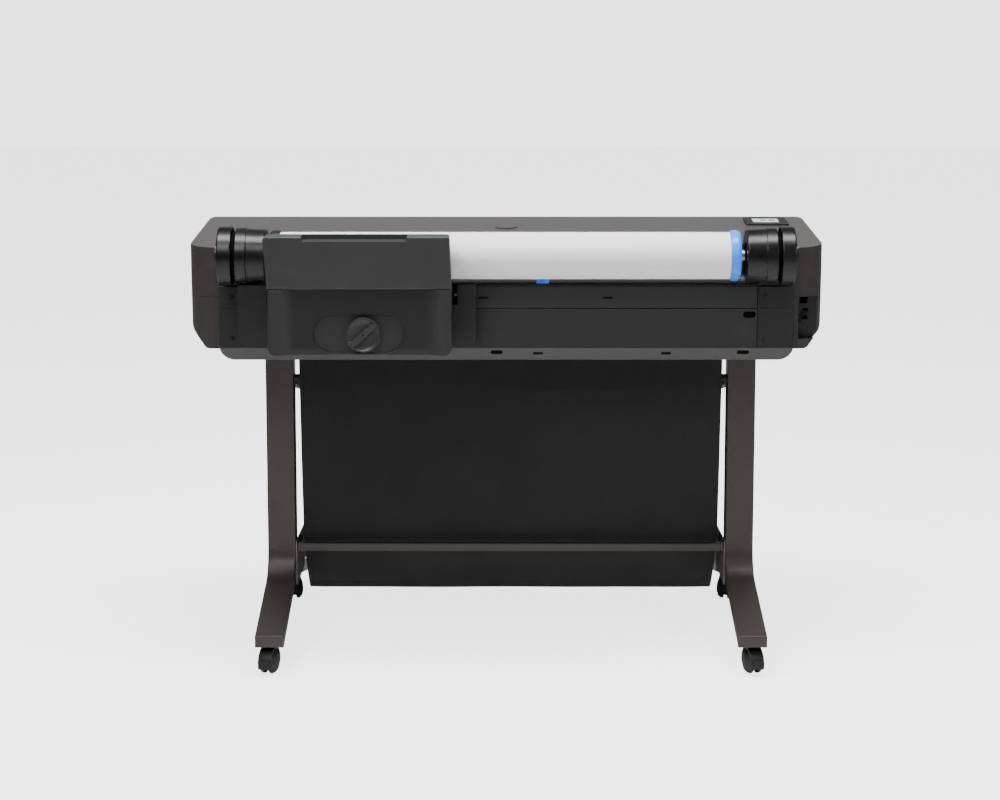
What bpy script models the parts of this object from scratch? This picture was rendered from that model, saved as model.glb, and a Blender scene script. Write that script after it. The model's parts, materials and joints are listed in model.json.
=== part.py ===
"""Large format plotter on a wheeled stand, with its paper roll, sheet feeder and paper bin.

Metres, +Z up. The origin is on the floor at the centre of the footprint. The roll and
the sheet feeder are at -Y, printed sheets leave at +Y, and +X is the control panel's end.
"""

import math

import bmesh
import bpy
from mathutils import Matrix, Vector

# Clearances
TOUCH_GAP = 0.0003
RUNNING_GAP = 0.0015
WALL = 0.003

# Widths, each worked out from the paper roll's
ROLL_WIDTH = 0.914
HALF_ROLL = ROLL_WIDTH / 2
BODY_WIDTH = ROLL_WIDTH + 0.403
END_WIDTH = 0.0665
CORE_WIDTH = BODY_WIDTH - 2 * END_WIDTH
COVER_WIDTH = CORE_WIDTH - 0.150

# Body
BODY_DEPTH = 0.440
REAR_Y = -0.190
PAN_Z = 0.641
BAND_HEIGHT = 0.028
BAND_SLOPE_DEPTH = 0.018
PANEL_SEAM_Z = 0.752
PANEL_TOP_Z = 0.798
PANEL_THICKNESS = 0.004
END_Z = 0.6635
END_SEAM_Z = 0.772
END_REAR_STEP = 0.025
END_REAR_RADIUS = 0.056
END_FRONT_RADIUS = 0.065
END_TAPER = 0.004
END_CHAMFER_Z = 0.704
END_CHAMFER_X = 0.036
TOP_REAR_Z = 0.875
TOP_FRONT_Z = 0.8975
TOP_FRONT_RADIUS = 0.035
COVER_FRONT_Z = 0.812
MOUNT_WIDTH_RIGHT = 0.075
MOUNT_WIDTH_LEFT = 0.040
MOUNT_DEPTH = 0.050
PAN_CORNER = 0.030

# Roll and its drive
ROLL_RADIUS = 0.048
ROLL_Y = -0.219
ROLL_Z = 0.865
ROLL_SHIFT = -0.0025
CORE_RADIUS = 0.0285
CORE_WALL = 0.003
HUB_RADIUS = 0.052
HUB_THICKNESS = 0.0216
HUB_PLUG = 0.030
SPINDLE_RADIUS = 0.0125
DRUM_START = HALF_ROLL + 0.030
DRUM_RADIUS = 0.0575
DRUM_SIDES = 40
DRUM_LENGTH = 0.098
DRUM_FLANGE_RADIUS = DRUM_RADIUS + 0.0025
TROUGH_BACK_Y = -0.128
TROUGH_WALL = 0.004
SLOT_HEIGHT = 0.007

# Stand
STAND_SHIFT = 0.0096
LEG_SPACING = ROLL_WIDTH + 0.080
LEG_WIDTH = 0.060
LEG_DEPTH = 0.025
LEG_Y = 0.010
FOOT_REACH = 0.3025
FOOT_SLOPE = math.radians(13)
BEND_RADIUS = 0.075
BEND_Z = 0.200
BRACE_Z = 0.199
BRACE_HEIGHT = 0.018
BRACE_DEPTH = 0.018
PLATE_THICKNESS = 0.003
PLATE_LOW_Z = 0.115
PLATE_HIGH_Z = 0.202
PLATE_REACH = 0.206
CASTER_INSET = 0.0435
CASTER_TRAIL = 0.016
CASTER_YAW = math.radians(13)
WHEEL_RADIUS = 0.025
WHEEL_WIDTH = 0.0150
WHEEL_SPREAD = 0.0105
HOOD_TOP_Z = 0.0560
STEM_RADIUS = 0.0095

# Paper bin
BIN_WIDTH = LEG_SPACING - LEG_WIDTH - 0.024
ROD_RADIUS = 0.0085
ROD_Z = 0.572
BIN_TOP_Z = 0.630
BIN_BOTTOM_Z = 0.062
BIN_FRONT_Y = 0.292
BIN_FRONT_Z = 0.500
FABRIC_THICKNESS = 0.0020

# Sheet feeder
FEEDER_LEFT_X = -HALF_ROLL - 0.021
FEEDER_RIGHT_X = FEEDER_LEFT_X + 0.368
FEEDER_FRONT_Y = -0.324
FEEDER_Z = 0.676
FEEDER_SEAM_Z = 0.809
TRAY_TOP_Z = 0.916
TRAY_DEPTH = 0.052
TRAY_FLARE = 0.004
TRAY_HINGE_RADIUS = 0.005
GRIP_LEFT_X = FEEDER_LEFT_X + 0.066
GRIP_RIGHT_X = GRIP_LEFT_X + 0.216
PILLAR_WIDTH = 0.026
FACET_WIDTH = 0.018
FACE_RECESS = 0.010
KNOB_RADIUS = 0.035
STADIUM_X = FEEDER_LEFT_X + 0.1815
STADIUM_Z = 0.7185
STADIUM_HEIGHT = 2 * KNOB_RADIUS + 0.009
STADIUM_WIDTH = STADIUM_HEIGHT + 0.105
STADIUM_DEPTH = 0.006
LIP_HALF = 0.0975
KNOB_X = STADIUM_X + 0.010
KNOB_Z = 0.7175
KNOB_RIB = 0.0135
KNOB_ANGLE = math.radians(42)
BRACKET_DEPTH = 0.045
BRACKET_LOW_Z = 0.678
BRACKET_HIGH_Z = 0.806
BRACKET_LEFT_X = FEEDER_LEFT_X - 0.070
BRACKET_RIGHT_X = FEEDER_RIGHT_X + 0.048
PICK_RADIUS = 0.014

# Paper path and printing
FEED_RADIUS = 0.014
FEED_Y = -0.030
FEED_Z = 0.778
FEED_HALF = HALF_ROLL + 0.013
PLATEN_Z = 0.792
PLATEN_FRONT_Y = 0.110
PLATEN_RIBS = 14
RAIL_Y = 0.002
RAIL_THICKNESS = 0.010
RAIL_LOW_Z = 0.800
RAIL_HIGH_Z = 0.848
CARRIAGE_WIDTH = 0.088
CARRIAGE_X = HALF_ROLL + 0.071
CARRIAGE_FRONT_Y = 0.105
CARRIAGE_TOP_Z = 0.866
BAY_LEFT_X = HALF_ROLL + 0.021
BAY_RIGHT_X = BAY_LEFT_X + 0.108
BAY_LOW_Z = 0.694
BAY_HIGH_Z = 0.768
CARTRIDGES = 4
BUTTON_X = HALF_ROLL + 0.099
BUTTON_Z = 0.838
BUTTON_RADIUS = 0.007

# Control panel and badge
PANEL_X = HALF_ROLL + 0.1145
PANEL_Y = 0.142
PANEL_WIDTH = 0.093
PANEL_DEPTH = 0.080
PANEL_HEIGHT = 0.004
BADGE_X = 0.0
BADGE_Y = 0.082
BADGE_RADIUS = 0.0245
BADGE_HEIGHT = 0.0015

# Worked out from the above
HALF_BODY = BODY_WIDTH / 2
HALF_CORE = CORE_WIDTH / 2
HALF_COVER = COVER_WIDTH / 2
FRONT_Y = REAR_Y + BODY_DEPTH
END_REAR_Y = REAR_Y + END_REAR_STEP
BAND_Z = PAN_Z + BAND_HEIGHT
TOP_SLOPE = (TOP_FRONT_Z - TOP_REAR_Z) / (FRONT_Y - TOP_FRONT_RADIUS - END_REAR_Y)
LEG_INNER = (LEG_SPACING - LEG_WIDTH) / 2
FOOT_END_Y = LEG_Y - FOOT_REACH
MOUNT_LEFT_X = -HALF_CORE + MOUNT_WIDTH_LEFT
MOUNT_RIGHT_X = HALF_CORE - MOUNT_WIDTH_RIGHT
BOSS_Z = HOOD_TOP_Z + 0.008
ROD_Y = LEG_Y - LEG_DEPTH / 2
ROD_OFFSET = ROD_RADIUS + TOUCH_GAP + FABRIC_THICKNESS / 2
HIDDEN_WALL_Y = REAR_Y + PANEL_THICKNESS + TOUCH_GAP
PAN_FRONT_Z = END_SEAM_Z - TOUCH_GAP
PAN_END_Z = END_SEAM_Z - 2 * TOUCH_GAP
DOOR_LOW_Z = BAY_LOW_Z - 0.004
PORT_Y = END_REAR_Y + 0.025
PORT_LEFT_X = HALF_CORE + 0.0125
PORT_LOW_Z = END_Z + 0.0205
PORT_RIGHT_X = HALF_BODY - 0.012
FLOOR_Z = PAN_Z + WALL + TOUCH_GAP
SHAFT_RADIUS = 0.005
FRAME_LEG = 0.024
FRAME_X = HALF_CORE - PAN_CORNER - 0.003 - FRAME_LEG
BEAM_X = HALF_CORE - 3 * WALL
FEEDER_BACK_Y = REAR_Y - TOUCH_GAP
FACE_Y = FEEDER_FRONT_Y + FACE_RECESS
SEAT_Y = FACE_Y + STADIUM_DEPTH
CAVITY_Y = SEAT_Y + 0.005


def top_z(y):
    """Height of the top's gently rising surface."""
    return TOP_REAR_Z + TOP_SLOPE * (y - END_REAR_Y)


# ---- shapes ----

def start_scene():
    for obj in list(bpy.data.objects):
        bpy.data.objects.remove(obj)
    parts = bpy.data.collections.new("large_format_plotter")
    helpers = bpy.data.collections.new("cutters")
    for collection in (parts, helpers):
        bpy.context.scene.collection.children.link(collection)
    helpers.hide_render = True
    return parts, helpers


PARTS, HELPERS = start_scene()


def make_material(name, colour, roughness, metallic=0.0):
    material = bpy.data.materials.new(name)
    material.use_nodes = True
    shader = material.node_tree.nodes["Principled BSDF"]
    shader.inputs["Base Color"].default_value = (*colour, 1)
    shader.inputs["Roughness"].default_value = roughness
    shader.inputs["Metallic"].default_value = metallic
    material.diffuse_color = (*colour, 1)
    return material


BROWN_PAINT = make_material("brown_paint", (0.060, 0.048, 0.045), 0.42, 0.3)
TOP_BROWN = make_material("top_brown", (0.205, 0.185, 0.180), 0.38)
DARK_PLASTIC = make_material("dark_plastic", (0.032, 0.032, 0.033), 0.45)
BAND_PLASTIC = make_material("band_plastic", (0.060, 0.060, 0.062), 0.5)
GLOSS_BLACK = make_material("gloss_black", (0.008, 0.008, 0.009), 0.15)
BLACK_PLASTIC = make_material("black_plastic", (0.014, 0.014, 0.015), 0.5)
BLUE_PLASTIC = make_material("blue_plastic", (0.070, 0.310, 0.850), 0.3)
PAPER = make_material("paper", (0.88, 0.88, 0.90), 0.8)
CARD = make_material("card", (0.42, 0.30, 0.19), 0.85)
FABRIC = make_material("fabric", (0.012, 0.012, 0.012), 0.95)
STEEL = make_material("steel", (0.55, 0.55, 0.56), 0.3, 1.0)
GREY_METAL = make_material("grey_metal", (0.170, 0.150, 0.165), 0.4, 0.6)
RUBBER = make_material("rubber", (0.018, 0.018, 0.018), 0.75)
SCREEN_BLACK = make_material("screen_black", (0.006, 0.006, 0.007), 0.08)
INKS = [
    make_material("ink_" + name, colour, 0.35)
    for name, colour in (
        ("black", (0.015, 0.015, 0.015)),
        ("cyan", (0.01, 0.30, 0.62)),
        ("magenta", (0.55, 0.02, 0.22)),
        ("yellow", (0.80, 0.62, 0.03)),
    )
]


def arc(centre, radius, start, stop, steps):
    """Points on an arc between two angles in degrees."""
    points = []
    for step in range(steps + 1):
        angle = math.radians(start + (stop - start) * step / steps)
        points.append((centre[0] + radius * math.cos(angle), centre[1] + radius * math.sin(angle)))
    return points


def rounded_outline(corners, steps=6):
    """A closed outline through corners (u, v, radius), each rounded by its radius."""
    points = []
    for index, (u, v, radius) in enumerate(corners):
        here = Vector((u, v))
        if radius == 0:
            points.append((u, v))
            continue
        before = (Vector(corners[index - 1][:2]) - here).normalized()
        after = (Vector(corners[(index + 1) % len(corners)][:2]) - here).normalized()
        half = before.angle(after) / 2
        centre = here + (before + after).normalized() * radius / math.sin(half)
        first = here + before * radius / math.tan(half) - centre
        last = here + after * radius / math.tan(half) - centre
        start = math.atan2(first.y, first.x)
        turn = (math.atan2(last.y, last.x) - start + math.pi) % (2 * math.pi) - math.pi
        points += arc(centre, radius, math.degrees(start), math.degrees(start + turn), steps)
    return points


def rectangle(low, high, radius=0.0):
    return [(low[0], low[1], radius), (high[0], low[1], radius),
            (high[0], high[1], radius), (low[0], high[1], radius)]


PLANES = {
    "XY": Matrix(((1, 0, 0), (0, 1, 0), (0, 0, 1))),
    "XZ": Matrix(((1, 0, 0), (0, 0, -1), (0, 1, 0))),
    "YZ": Matrix(((0, 0, 1), (1, 0, 0), (0, 1, 0))),
}


def outline_mesh(points, low, high, plane):
    """A flat outline in a plane, extruded from low to high along the axis across it."""
    curve = bpy.data.curves.new("outline", "CURVE")
    curve.dimensions = "2D"
    curve.fill_mode = "BOTH"
    curve.extrude = (high - low) / 2
    spline = curve.splines.new("POLY")
    spline.points.add(len(points) - 1)
    for point, (u, v) in zip(spline.points, points):
        point.co = (u, v, 0, 1)
    spline.use_cyclic_u = True
    guide = bpy.data.objects.new("outline", curve)
    mesh = bpy.data.meshes.new_from_object(guide)
    bpy.data.objects.remove(guide)
    bpy.data.curves.remove(curve)
    across = {"XY": 2, "XZ": 1, "YZ": 0}[plane]
    middle = Vector((0, 0, 0))
    middle[across] = (low + high) / 2
    mesh.transform(Matrix.Translation(middle) @ PLANES[plane].to_4x4())
    form = bmesh.new()
    form.from_mesh(mesh)
    bmesh.ops.remove_doubles(form, verts=form.verts, dist=1e-6)
    bmesh.ops.recalc_face_normals(form, faces=form.faces)
    form.to_mesh(mesh)
    form.free()
    return mesh


def block_mesh(low, high):
    size = Vector(high) - Vector(low)
    centre = (Vector(high) + Vector(low)) / 2
    form = bmesh.new()
    place = Matrix.Translation(centre) @ Matrix.Diagonal((*size, 1))
    bmesh.ops.create_cube(form, size=1, matrix=place)
    mesh = bpy.data.meshes.new("block")
    form.to_mesh(mesh)
    form.free()
    return mesh


TURN_TO = {"X": Matrix.Rotation(math.pi / 2, 4, "Y"),
           "Y": Matrix.Rotation(-math.pi / 2, 4, "X"), "Z": Matrix.Identity(4)}


def cylinder_mesh(centre, radius, length, axis, sides=24, end_radius=None):
    """A cylinder or cone round centre, along an axis, from its radius to its end radius."""
    form = bmesh.new()
    last = radius if end_radius is None else end_radius
    bmesh.ops.create_cone(form, cap_ends=True, segments=sides, radius1=radius, radius2=last,
                          depth=length, matrix=Matrix.Translation(centre) @ TURN_TO[axis])
    mesh = bpy.data.meshes.new("cylinder")
    form.to_mesh(mesh)
    form.free()
    return mesh


def add_part(name, mesh, material, origin=(0, 0, 0), parent=None):
    """A node whose mesh is in world coordinates, with its own origin where it turns or slides."""
    obj = bpy.data.objects.new(name, mesh)
    mesh.name = name
    mesh.transform(Matrix.Translation(-Vector(origin)))
    obj.location = origin
    mesh.shade_smooth()
    mesh.set_sharp_from_angle(angle=math.radians(35))
    mesh.materials.append(material)
    PARTS.objects.link(obj)
    if parent:
        obj.parent = parent
    return obj


def tool_of(obj, mesh, operation):
    """A hidden solid joined to, cut from or kept of a node by a Boolean."""
    tool = bpy.data.objects.new(obj.name + "_" + operation.lower(), mesh)
    HELPERS.objects.link(tool)
    tool.hide_render = True
    tool.display_type = "WIRE"
    boolean = obj.modifiers.new(operation.title(), "BOOLEAN")
    boolean.operation = operation
    boolean.object = tool
    return tool


def join(obj, mesh):
    return tool_of(obj, mesh, "UNION")


def cut(obj, mesh):
    return tool_of(obj, mesh, "DIFFERENCE")


def keep(obj, mesh):
    return tool_of(obj, mesh, "INTERSECT")


def round_edges(obj, width, segments=2, angle=40):
    bevel = obj.modifiers.new("Round", "BEVEL")
    bevel.width = width
    bevel.segments = segments
    bevel.limit_method = "ANGLE"
    bevel.angle_limit = math.radians(angle)
    return bevel


def turned(name, profile, place, axis, material, sides=32, parent=None):
    """A turned piece: profile points (radius, height) run down its outer side, top to bottom."""
    mesh = bpy.data.meshes.new(name)
    points = [(radius, 0, height) for radius, height in profile]
    edges = [(index, index + 1) for index in range(len(points) - 1)]
    mesh.from_pydata(points, edges, [])
    obj = bpy.data.objects.new(name, mesh)
    PARTS.objects.link(obj)
    screw = obj.modifiers.new("Turn", "SCREW")
    screw.steps = sides
    screw.render_steps = sides
    screw.use_merge_vertices = True
    screw.merge_threshold = 0.00001
    screw.use_smooth_shade = False
    obj.matrix_world = Matrix.Translation(place) @ TURN_TO[axis]
    mesh.materials.append(material)
    if parent:
        obj.parent = parent
    return obj


def ring_profile(radius, bore, low, high):
    """The closed outline of a tube wall for turned()."""
    return [(bore, high), (radius, high), (radius, low), (bore, low), (bore, high)]


def tube(name, points, radius, material):
    """A round tube along a route, with flat ends."""
    curve = bpy.data.curves.new(name, "CURVE")
    curve.dimensions = "3D"
    curve.bevel_depth = radius
    curve.bevel_resolution = 2
    curve.use_fill_caps = True
    spline = curve.splines.new("POLY")
    spline.points.add(len(points) - 1)
    for point, place in zip(spline.points, points):
        point.co = (*place, 1)
    obj = bpy.data.objects.new(name, curve)
    curve.materials.append(material)
    PARTS.objects.link(obj)
    return obj


def smooth_route(points, steps=6):
    """Points on a Catmull-Rom curve through the given ones."""
    ends = [points[0], *points, points[-1]]
    route = []
    for first, second, third, fourth in zip(ends, ends[1:], ends[2:], ends[3:]):
        for step in range(steps):
            t = step / steps
            route.append(tuple(
                0.5 * (2 * b + (c - a) * t + (2 * a - 5 * b + 4 * c - d) * t ** 2
                       + (3 * b - a - 3 * c + d) * t ** 3)
                for a, b, c, d in zip(first, second, third, fourth)))
    route.append(tuple(points[-1]))
    return route


def empty_at(name, place, yaw=0.0):
    """An empty on a joint, for pieces that turn together."""
    empty = bpy.data.objects.new(name, None)
    empty.location = place
    empty.rotation_euler.z = yaw
    PARTS.objects.link(empty)
    return empty


# ---- stand ----

def side_name(side):
    return "left" if side < 0 else "right"


def foot_edge(radius):
    """One edge of the bent tube, from the top of the column round the bend to the foot's end."""
    turn_y = LEG_Y - (TOUCH_GAP + LEG_DEPTH) / 2 - BEND_RADIUS
    bend = arc((turn_y, BEND_Z), radius, 0, math.degrees(FOOT_SLOPE) - 90, 9)
    last_y, last_z = bend[-1]
    end_z = last_z - (last_y - FOOT_END_Y) * math.tan(FOOT_SLOPE)
    return [(turn_y + radius, PAN_Z - TOUCH_GAP), *bend, (FOOT_END_Y, end_z)]


def make_leg(side, end):
    """A rear or front half: a flat tube whose column bends out into a foot with a caster boss."""
    outline = foot_edge(BEND_RADIUS + LEG_DEPTH / 2) + foot_edge(BEND_RADIUS - LEG_DEPTH / 2)[::-1]
    if end == "front":
        outline = [(2 * LEG_Y - y, z) for y, z in outline]
    middle = STAND_SHIFT + side * LEG_SPACING / 2
    mesh = outline_mesh(outline, middle - LEG_WIDTH / 2, middle + LEG_WIDTH / 2, "YZ")
    leg = add_part(f"leg_{side_name(side)}_{end}", mesh, BROWN_PAINT)
    round_edges(leg, 0.003)
    stem_y = caster_y(end)
    foot_z = foot_edge(BEND_RADIUS)[-1][1] + CASTER_INSET * math.tan(FOOT_SLOPE)
    height = foot_z - BOSS_Z
    join(leg, cylinder_mesh((middle, stem_y, BOSS_Z + height / 2), STEM_RADIUS + 0.002, height, "Z"))
    return leg


def caster_y(end):
    rear_y = FOOT_END_Y + CASTER_INSET
    return rear_y if end == "rear" else 2 * LEG_Y - rear_y


def make_caster(side, end):
    """A hooded twin-wheel caster that swivels on its stem, with a brake tab on the hood."""
    label = f"{side_name(side)}_{end}"
    yaw = side * CASTER_YAW if end == "rear" else math.pi - side * CASTER_YAW
    swivel = empty_at(f"swivel_{label}", (STAND_SHIFT + side * LEG_SPACING / 2, caster_y(end), 0), yaw)
    axle = (-CASTER_TRAIL, WHEEL_RADIUS)
    inner = WHEEL_RADIUS + RUNNING_GAP
    outer = HOOD_TOP_Z - WHEEL_RADIUS
    half_width = WHEEL_SPREAD / 2 + 0.6 * WHEEL_WIDTH
    shell = arc(axle, outer, -20, 200, 16) + arc(axle, inner, 200, -20, 12)
    hood = add_part(f"caster_hood_{label}", outline_mesh(shell, -half_width, half_width, "YZ"),
                    BLACK_PLASTIC, parent=swivel)
    web_half = WHEEL_SPREAD / 2 - RUNNING_GAP
    web = arc(axle, (inner + outer) / 2, 0, 180, 10) + arc(axle, WHEEL_RADIUS / 2, 180, 360, 6)[1:-1]
    join(hood, outline_mesh(web, -web_half, web_half, "YZ")).parent = swivel
    stem_low = WHEEL_RADIUS + math.sqrt(inner ** 2 - (CASTER_TRAIL - STEM_RADIUS) ** 2) + 0.001
    stem_high = BOSS_Z - TOUCH_GAP
    stem = cylinder_mesh((0, 0, (stem_low + stem_high) / 2), STEM_RADIUS, stem_high - stem_low, "Z")
    join(hood, stem).parent = swivel
    tab_y = -CASTER_TRAIL - (inner + outer) / 2
    tab = block_mesh((-0.011, tab_y - 0.009, WHEEL_RADIUS + 0.004), (0.011, tab_y, WHEEL_RADIUS + 0.010))
    join(hood, tab).parent = swivel
    axle_radius = 0.003
    bore = cylinder_mesh((0, *axle), axle_radius + 0.0005, 4 * web_half, "X")
    cut(hood, bore).parent = swivel

    near = WHEEL_SPREAD / 2
    far = near + WHEEL_WIDTH
    half = [(0, far), (0.48 * WHEEL_RADIUS, far - 0.0006), (0.76 * WHEEL_RADIUS, far - 0.0030),
            (0.94 * WHEEL_RADIUS, far - 0.0075), (WHEEL_RADIUS, far - 0.0115), (WHEEL_RADIUS, near),
            (axle_radius, near)]
    profile = half + [(radius, -height) for radius, height in half[::-1]]
    turned(f"caster_wheels_{label}", profile, (0, *axle), "X", RUBBER, 24, parent=swivel)


def make_brace():
    half = LEG_INNER - PLATE_THICKNESS - 2 * TOUCH_GAP
    near_y = LEG_Y - LEG_DEPTH + 0.002
    low = (STAND_SHIFT - half, near_y, BRACE_Z - BRACE_HEIGHT / 2)
    high = (STAND_SHIFT + half, near_y + BRACE_DEPTH, BRACE_Z + BRACE_HEIGHT / 2)
    round_edges(add_part("cross_brace", block_mesh(low, high), BROWN_PAINT), 0.003, 3)


def make_brace_ends(side):
    """The bracket plate on a leg's inner face and the plastic clip it carries."""
    outer = LEG_INNER - TOUCH_GAP
    inner = outer - PLATE_THICKNESS
    across = sorted((STAND_SHIFT + side * inner, STAND_SHIFT + side * outer))
    near_y = LEG_Y - LEG_DEPTH + 0.0005
    far_y = LEG_Y + PLATE_REACH
    outline = rounded_outline([(near_y, PLATE_LOW_Z, 0.006), (far_y - 0.03, PLATE_LOW_Z, 0.045),
                               (far_y, PLATE_HIGH_Z - 0.03, 0.012), (far_y, PLATE_HIGH_Z, 0.008),
                               (near_y, PLATE_HIGH_Z + 0.012, 0.006)])
    plate = add_part(f"brace_plate_{side_name(side)}", outline_mesh(outline, *across, "YZ"), GREY_METAL)
    for y in (LEG_Y + 0.016, LEG_Y + 0.120):
        hole = cylinder_mesh((STAND_SHIFT + side * inner, y, PLATE_LOW_Z + 0.035), 0.004, 0.02, "X", 16)
        cut(plate, hole)
    clip_near = BRACE_DEPTH + near_y + 0.004
    across = sorted((STAND_SHIFT + side * (inner - TOUCH_GAP), STAND_SHIFT + side * (inner - 0.0065)))
    low_z = PLATE_HIGH_Z - 0.016
    hook = rounded_outline([(clip_near, low_z, 0.002), (clip_near + 0.030, low_z, 0.004),
                            (clip_near + 0.030, low_z + 0.026, 0.004), (clip_near + 0.018, low_z + 0.034,
                                                                        0.003),
                            (clip_near + 0.018, low_z + 0.018, 0.002), (clip_near, low_z + 0.018, 0.003)],
                           3)
    add_part(f"brace_clip_{side_name(side)}", outline_mesh(hook, *across, "YZ"), BLACK_PLASTIC)


# ---- paper bin ----


def rounded_route(points, radius, steps=6):
    """A polyline whose inner corners are eased into short curves."""
    route = [tuple(points[0])]
    for before, here, after in zip(points, points[1:], points[2:]):
        before, here, after = Vector(before), Vector(here), Vector(after)
        start = here + (before - here).normalized() * radius
        stop = here + (after - here).normalized() * radius
        for step in range(steps + 1):
            t = step / steps
            route.append(tuple((1 - t) ** 2 * start + 2 * t * (1 - t) * here + t ** 2 * stop))
    route.append(tuple(points[-1]))
    return route


def make_bin_frame():
    rod = cylinder_mesh((STAND_SHIFT, ROD_Y, ROD_Z), ROD_RADIUS, 2 * (LEG_INNER - TOUCH_GAP), "X", 20)
    add_part("bin_rod_rear", rod, BLACK_PLASTIC)
    arm_x = LEG_SPACING / 2 - 0.010
    start_y = LEG_Y + LEG_DEPTH + 2 * TOUCH_GAP
    half = [(arm_x, start_y, BIN_FRONT_Z + 0.060), (arm_x, start_y + 0.050, BIN_FRONT_Z + 0.060),
            (arm_x, BIN_FRONT_Y, BIN_FRONT_Z)]
    points = [(STAND_SHIFT - x, y, z) for x, y, z in half] + [(STAND_SHIFT + x, y, z) for x, y,
                                                              z in half[::-1]]
    tube("bin_frame_front", rounded_route(points, 0.018), ROD_RADIUS, BLACK_PLASTIC)


def fabric_route():
    """The hammock's centreline (y, z), from the rear rod down to the floor and up to the front rod."""
    near_y = ROD_Y - ROD_OFFSET
    behind_brace = LEG_Y - LEG_DEPTH + BRACE_DEPTH + 0.010
    fall = [(near_y, ROD_Z - 0.020), (near_y + 0.006, 0.450), (near_y + 0.016, 0.330),
            (behind_brace + 0.010, BRACE_Z + 0.015), (0.085, 0.128), (0.150, BIN_BOTTOM_Z + 0.006),
            (0.175, BIN_BOTTOM_Z), (0.205, BIN_BOTTOM_Z + 0.010), (0.252, 0.150), (0.283, 0.300),
            (BIN_FRONT_Y + ROD_OFFSET, BIN_FRONT_Z - 0.020)]
    return [(near_y, BIN_TOP_Z), *smooth_route(fall, 4), (BIN_FRONT_Y + ROD_OFFSET, BIN_FRONT_Z + 0.018)]


def make_bin_fabric():
    form = bmesh.new()
    rows = [[form.verts.new((STAND_SHIFT + side * BIN_WIDTH / 2, y, z)) for side in (-1, 1)]
            for y, z in fabric_route()]
    for (a, b), (c, d) in zip(rows, rows[1:]):
        form.faces.new((a, b, d, c))
    mesh = bpy.data.meshes.new("bin_fabric")
    form.to_mesh(mesh)
    form.free()
    fabric = add_part("bin_fabric", mesh, FABRIC)
    solid = fabric.modifiers.new("Thickness", "SOLIDIFY")
    solid.thickness = FABRIC_THICKNESS
    solid.offset = 0
    solid.use_even_offset = True


# ---- body ----


def pan_outline(inset, top):
    """The pan's section (y, z): sloped band at the rear, flat floor, upswept front."""
    rear = HIDDEN_WALL_Y + inset
    low = PAN_Z + inset
    return rounded_outline([
        (rear, top, 0), (rear, BAND_Z + inset, 0), (REAR_Y + 2 * inset, BAND_Z + inset * 0.5, 0),
        (REAR_Y + BAND_SLOPE_DEPTH + inset, low, 0.003), (FRONT_Y - 0.050, low, 0.03),
        (FRONT_Y - inset - 0.003, PAN_Z + 0.034, 0.03), (FRONT_Y - inset, PAN_Z + 0.080, 0),
        (FRONT_Y - inset, top, 0)])


def pan_front(inset, top):
    low = PAN_Z + inset
    half = HALF_CORE - inset
    return rounded_outline([(-half, low, PAN_CORNER - inset), (half, low, PAN_CORNER - inset),
                            (half, top, 0), (-half, top, 0)])


def make_base_pan():
    """The moulded tub under the machine, open at the top, with a rear wall behind the panels."""
    wall_top = PANEL_TOP_Z - 0.008
    pan = add_part("base_pan", outline_mesh(pan_outline(0, wall_top), -HALF_CORE, HALF_CORE, "YZ"),
                   BAND_PLASTIC)
    keep(pan, outline_mesh(pan_front(0, wall_top + 0.01), REAR_Y - 0.01, FRONT_Y + 0.01, "XZ"))
    cavity = cut(pan, outline_mesh(pan_outline(WALL, wall_top + 0.02), -HALF_CORE + WALL,
                                   HALF_CORE - WALL, "YZ"))
    keep(cavity, outline_mesh(pan_front(WALL, wall_top + 0.03), REAR_Y, FRONT_Y + 0.01, "XZ"))
    inside_y = HIDDEN_WALL_Y + WALL
    cut(pan, block_mesh((-HALF_CORE - 0.01, inside_y + 0.0001, PAN_END_Z),
                        (HALF_CORE + 0.01, FRONT_Y + 0.01, wall_top + 0.03)))
    mount_back = REAR_Y + MOUNT_DEPTH + TOUCH_GAP
    for low_x, high_x in ((-HALF_CORE - 0.01, MOUNT_LEFT_X), (MOUNT_RIGHT_X, HALF_CORE + 0.01)):
        cut(pan, block_mesh((low_x, REAR_Y - 0.01, BAND_Z), (high_x, mount_back, wall_top + 0.04)))
    cut(pan, block_mesh((BAY_LEFT_X, FRONT_Y - 0.02, DOOR_LOW_Z), (BAY_RIGHT_X, FRONT_Y + 0.02,
                                                                   PAN_Z + 0.2)))
    for x, width in ((0.0, 0.013), (0.078, 0.010), (0.342, 0.010), (0.493, 0.013)):
        slot = rounded_outline(rectangle((x - width, BAND_Z - 0.016), (x + width, BAND_Z - 0.009), 0.003),
                               3)
        cut(pan, outline_mesh(slot, REAR_Y - 0.01, REAR_Y + 0.006, "XZ"))


def make_rear_panels():
    left = MOUNT_LEFT_X + TOUCH_GAP
    right = MOUNT_RIGHT_X - TOUCH_GAP
    near, far = REAR_Y, REAR_Y + PANEL_THICKNESS
    seam = 0.0012
    lower = add_part("rear_panel_lower", block_mesh((left, near, BAND_Z + TOUCH_GAP),
                                                    (right, far, PANEL_SEAM_Z - seam)), DARK_PLASTIC)
    round_edges(lower, 0.0012)
    handle = rounded_outline(rectangle((right - 0.029, PANEL_SEAM_Z - 0.020),
                                       (right - 0.003, PANEL_SEAM_Z - 0.007), 0.0055), 4)
    cut(lower, outline_mesh(handle, near - 0.01, far + 0.01, "XZ"))
    upper = add_part("rear_panel_upper", block_mesh((left, near, PANEL_SEAM_Z),
                                                    (right, far, PANEL_TOP_Z)), DARK_PLASTIC)
    round_edges(upper, 0.0012)
    for x in (-0.047, 0.209):
        slot = block_mesh((x - 0.010, near - 0.01, PANEL_TOP_Z - 0.0260),
                          (x + 0.010, far + 0.01, PANEL_TOP_Z - 0.0225))
        cut(upper, slot)


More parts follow.
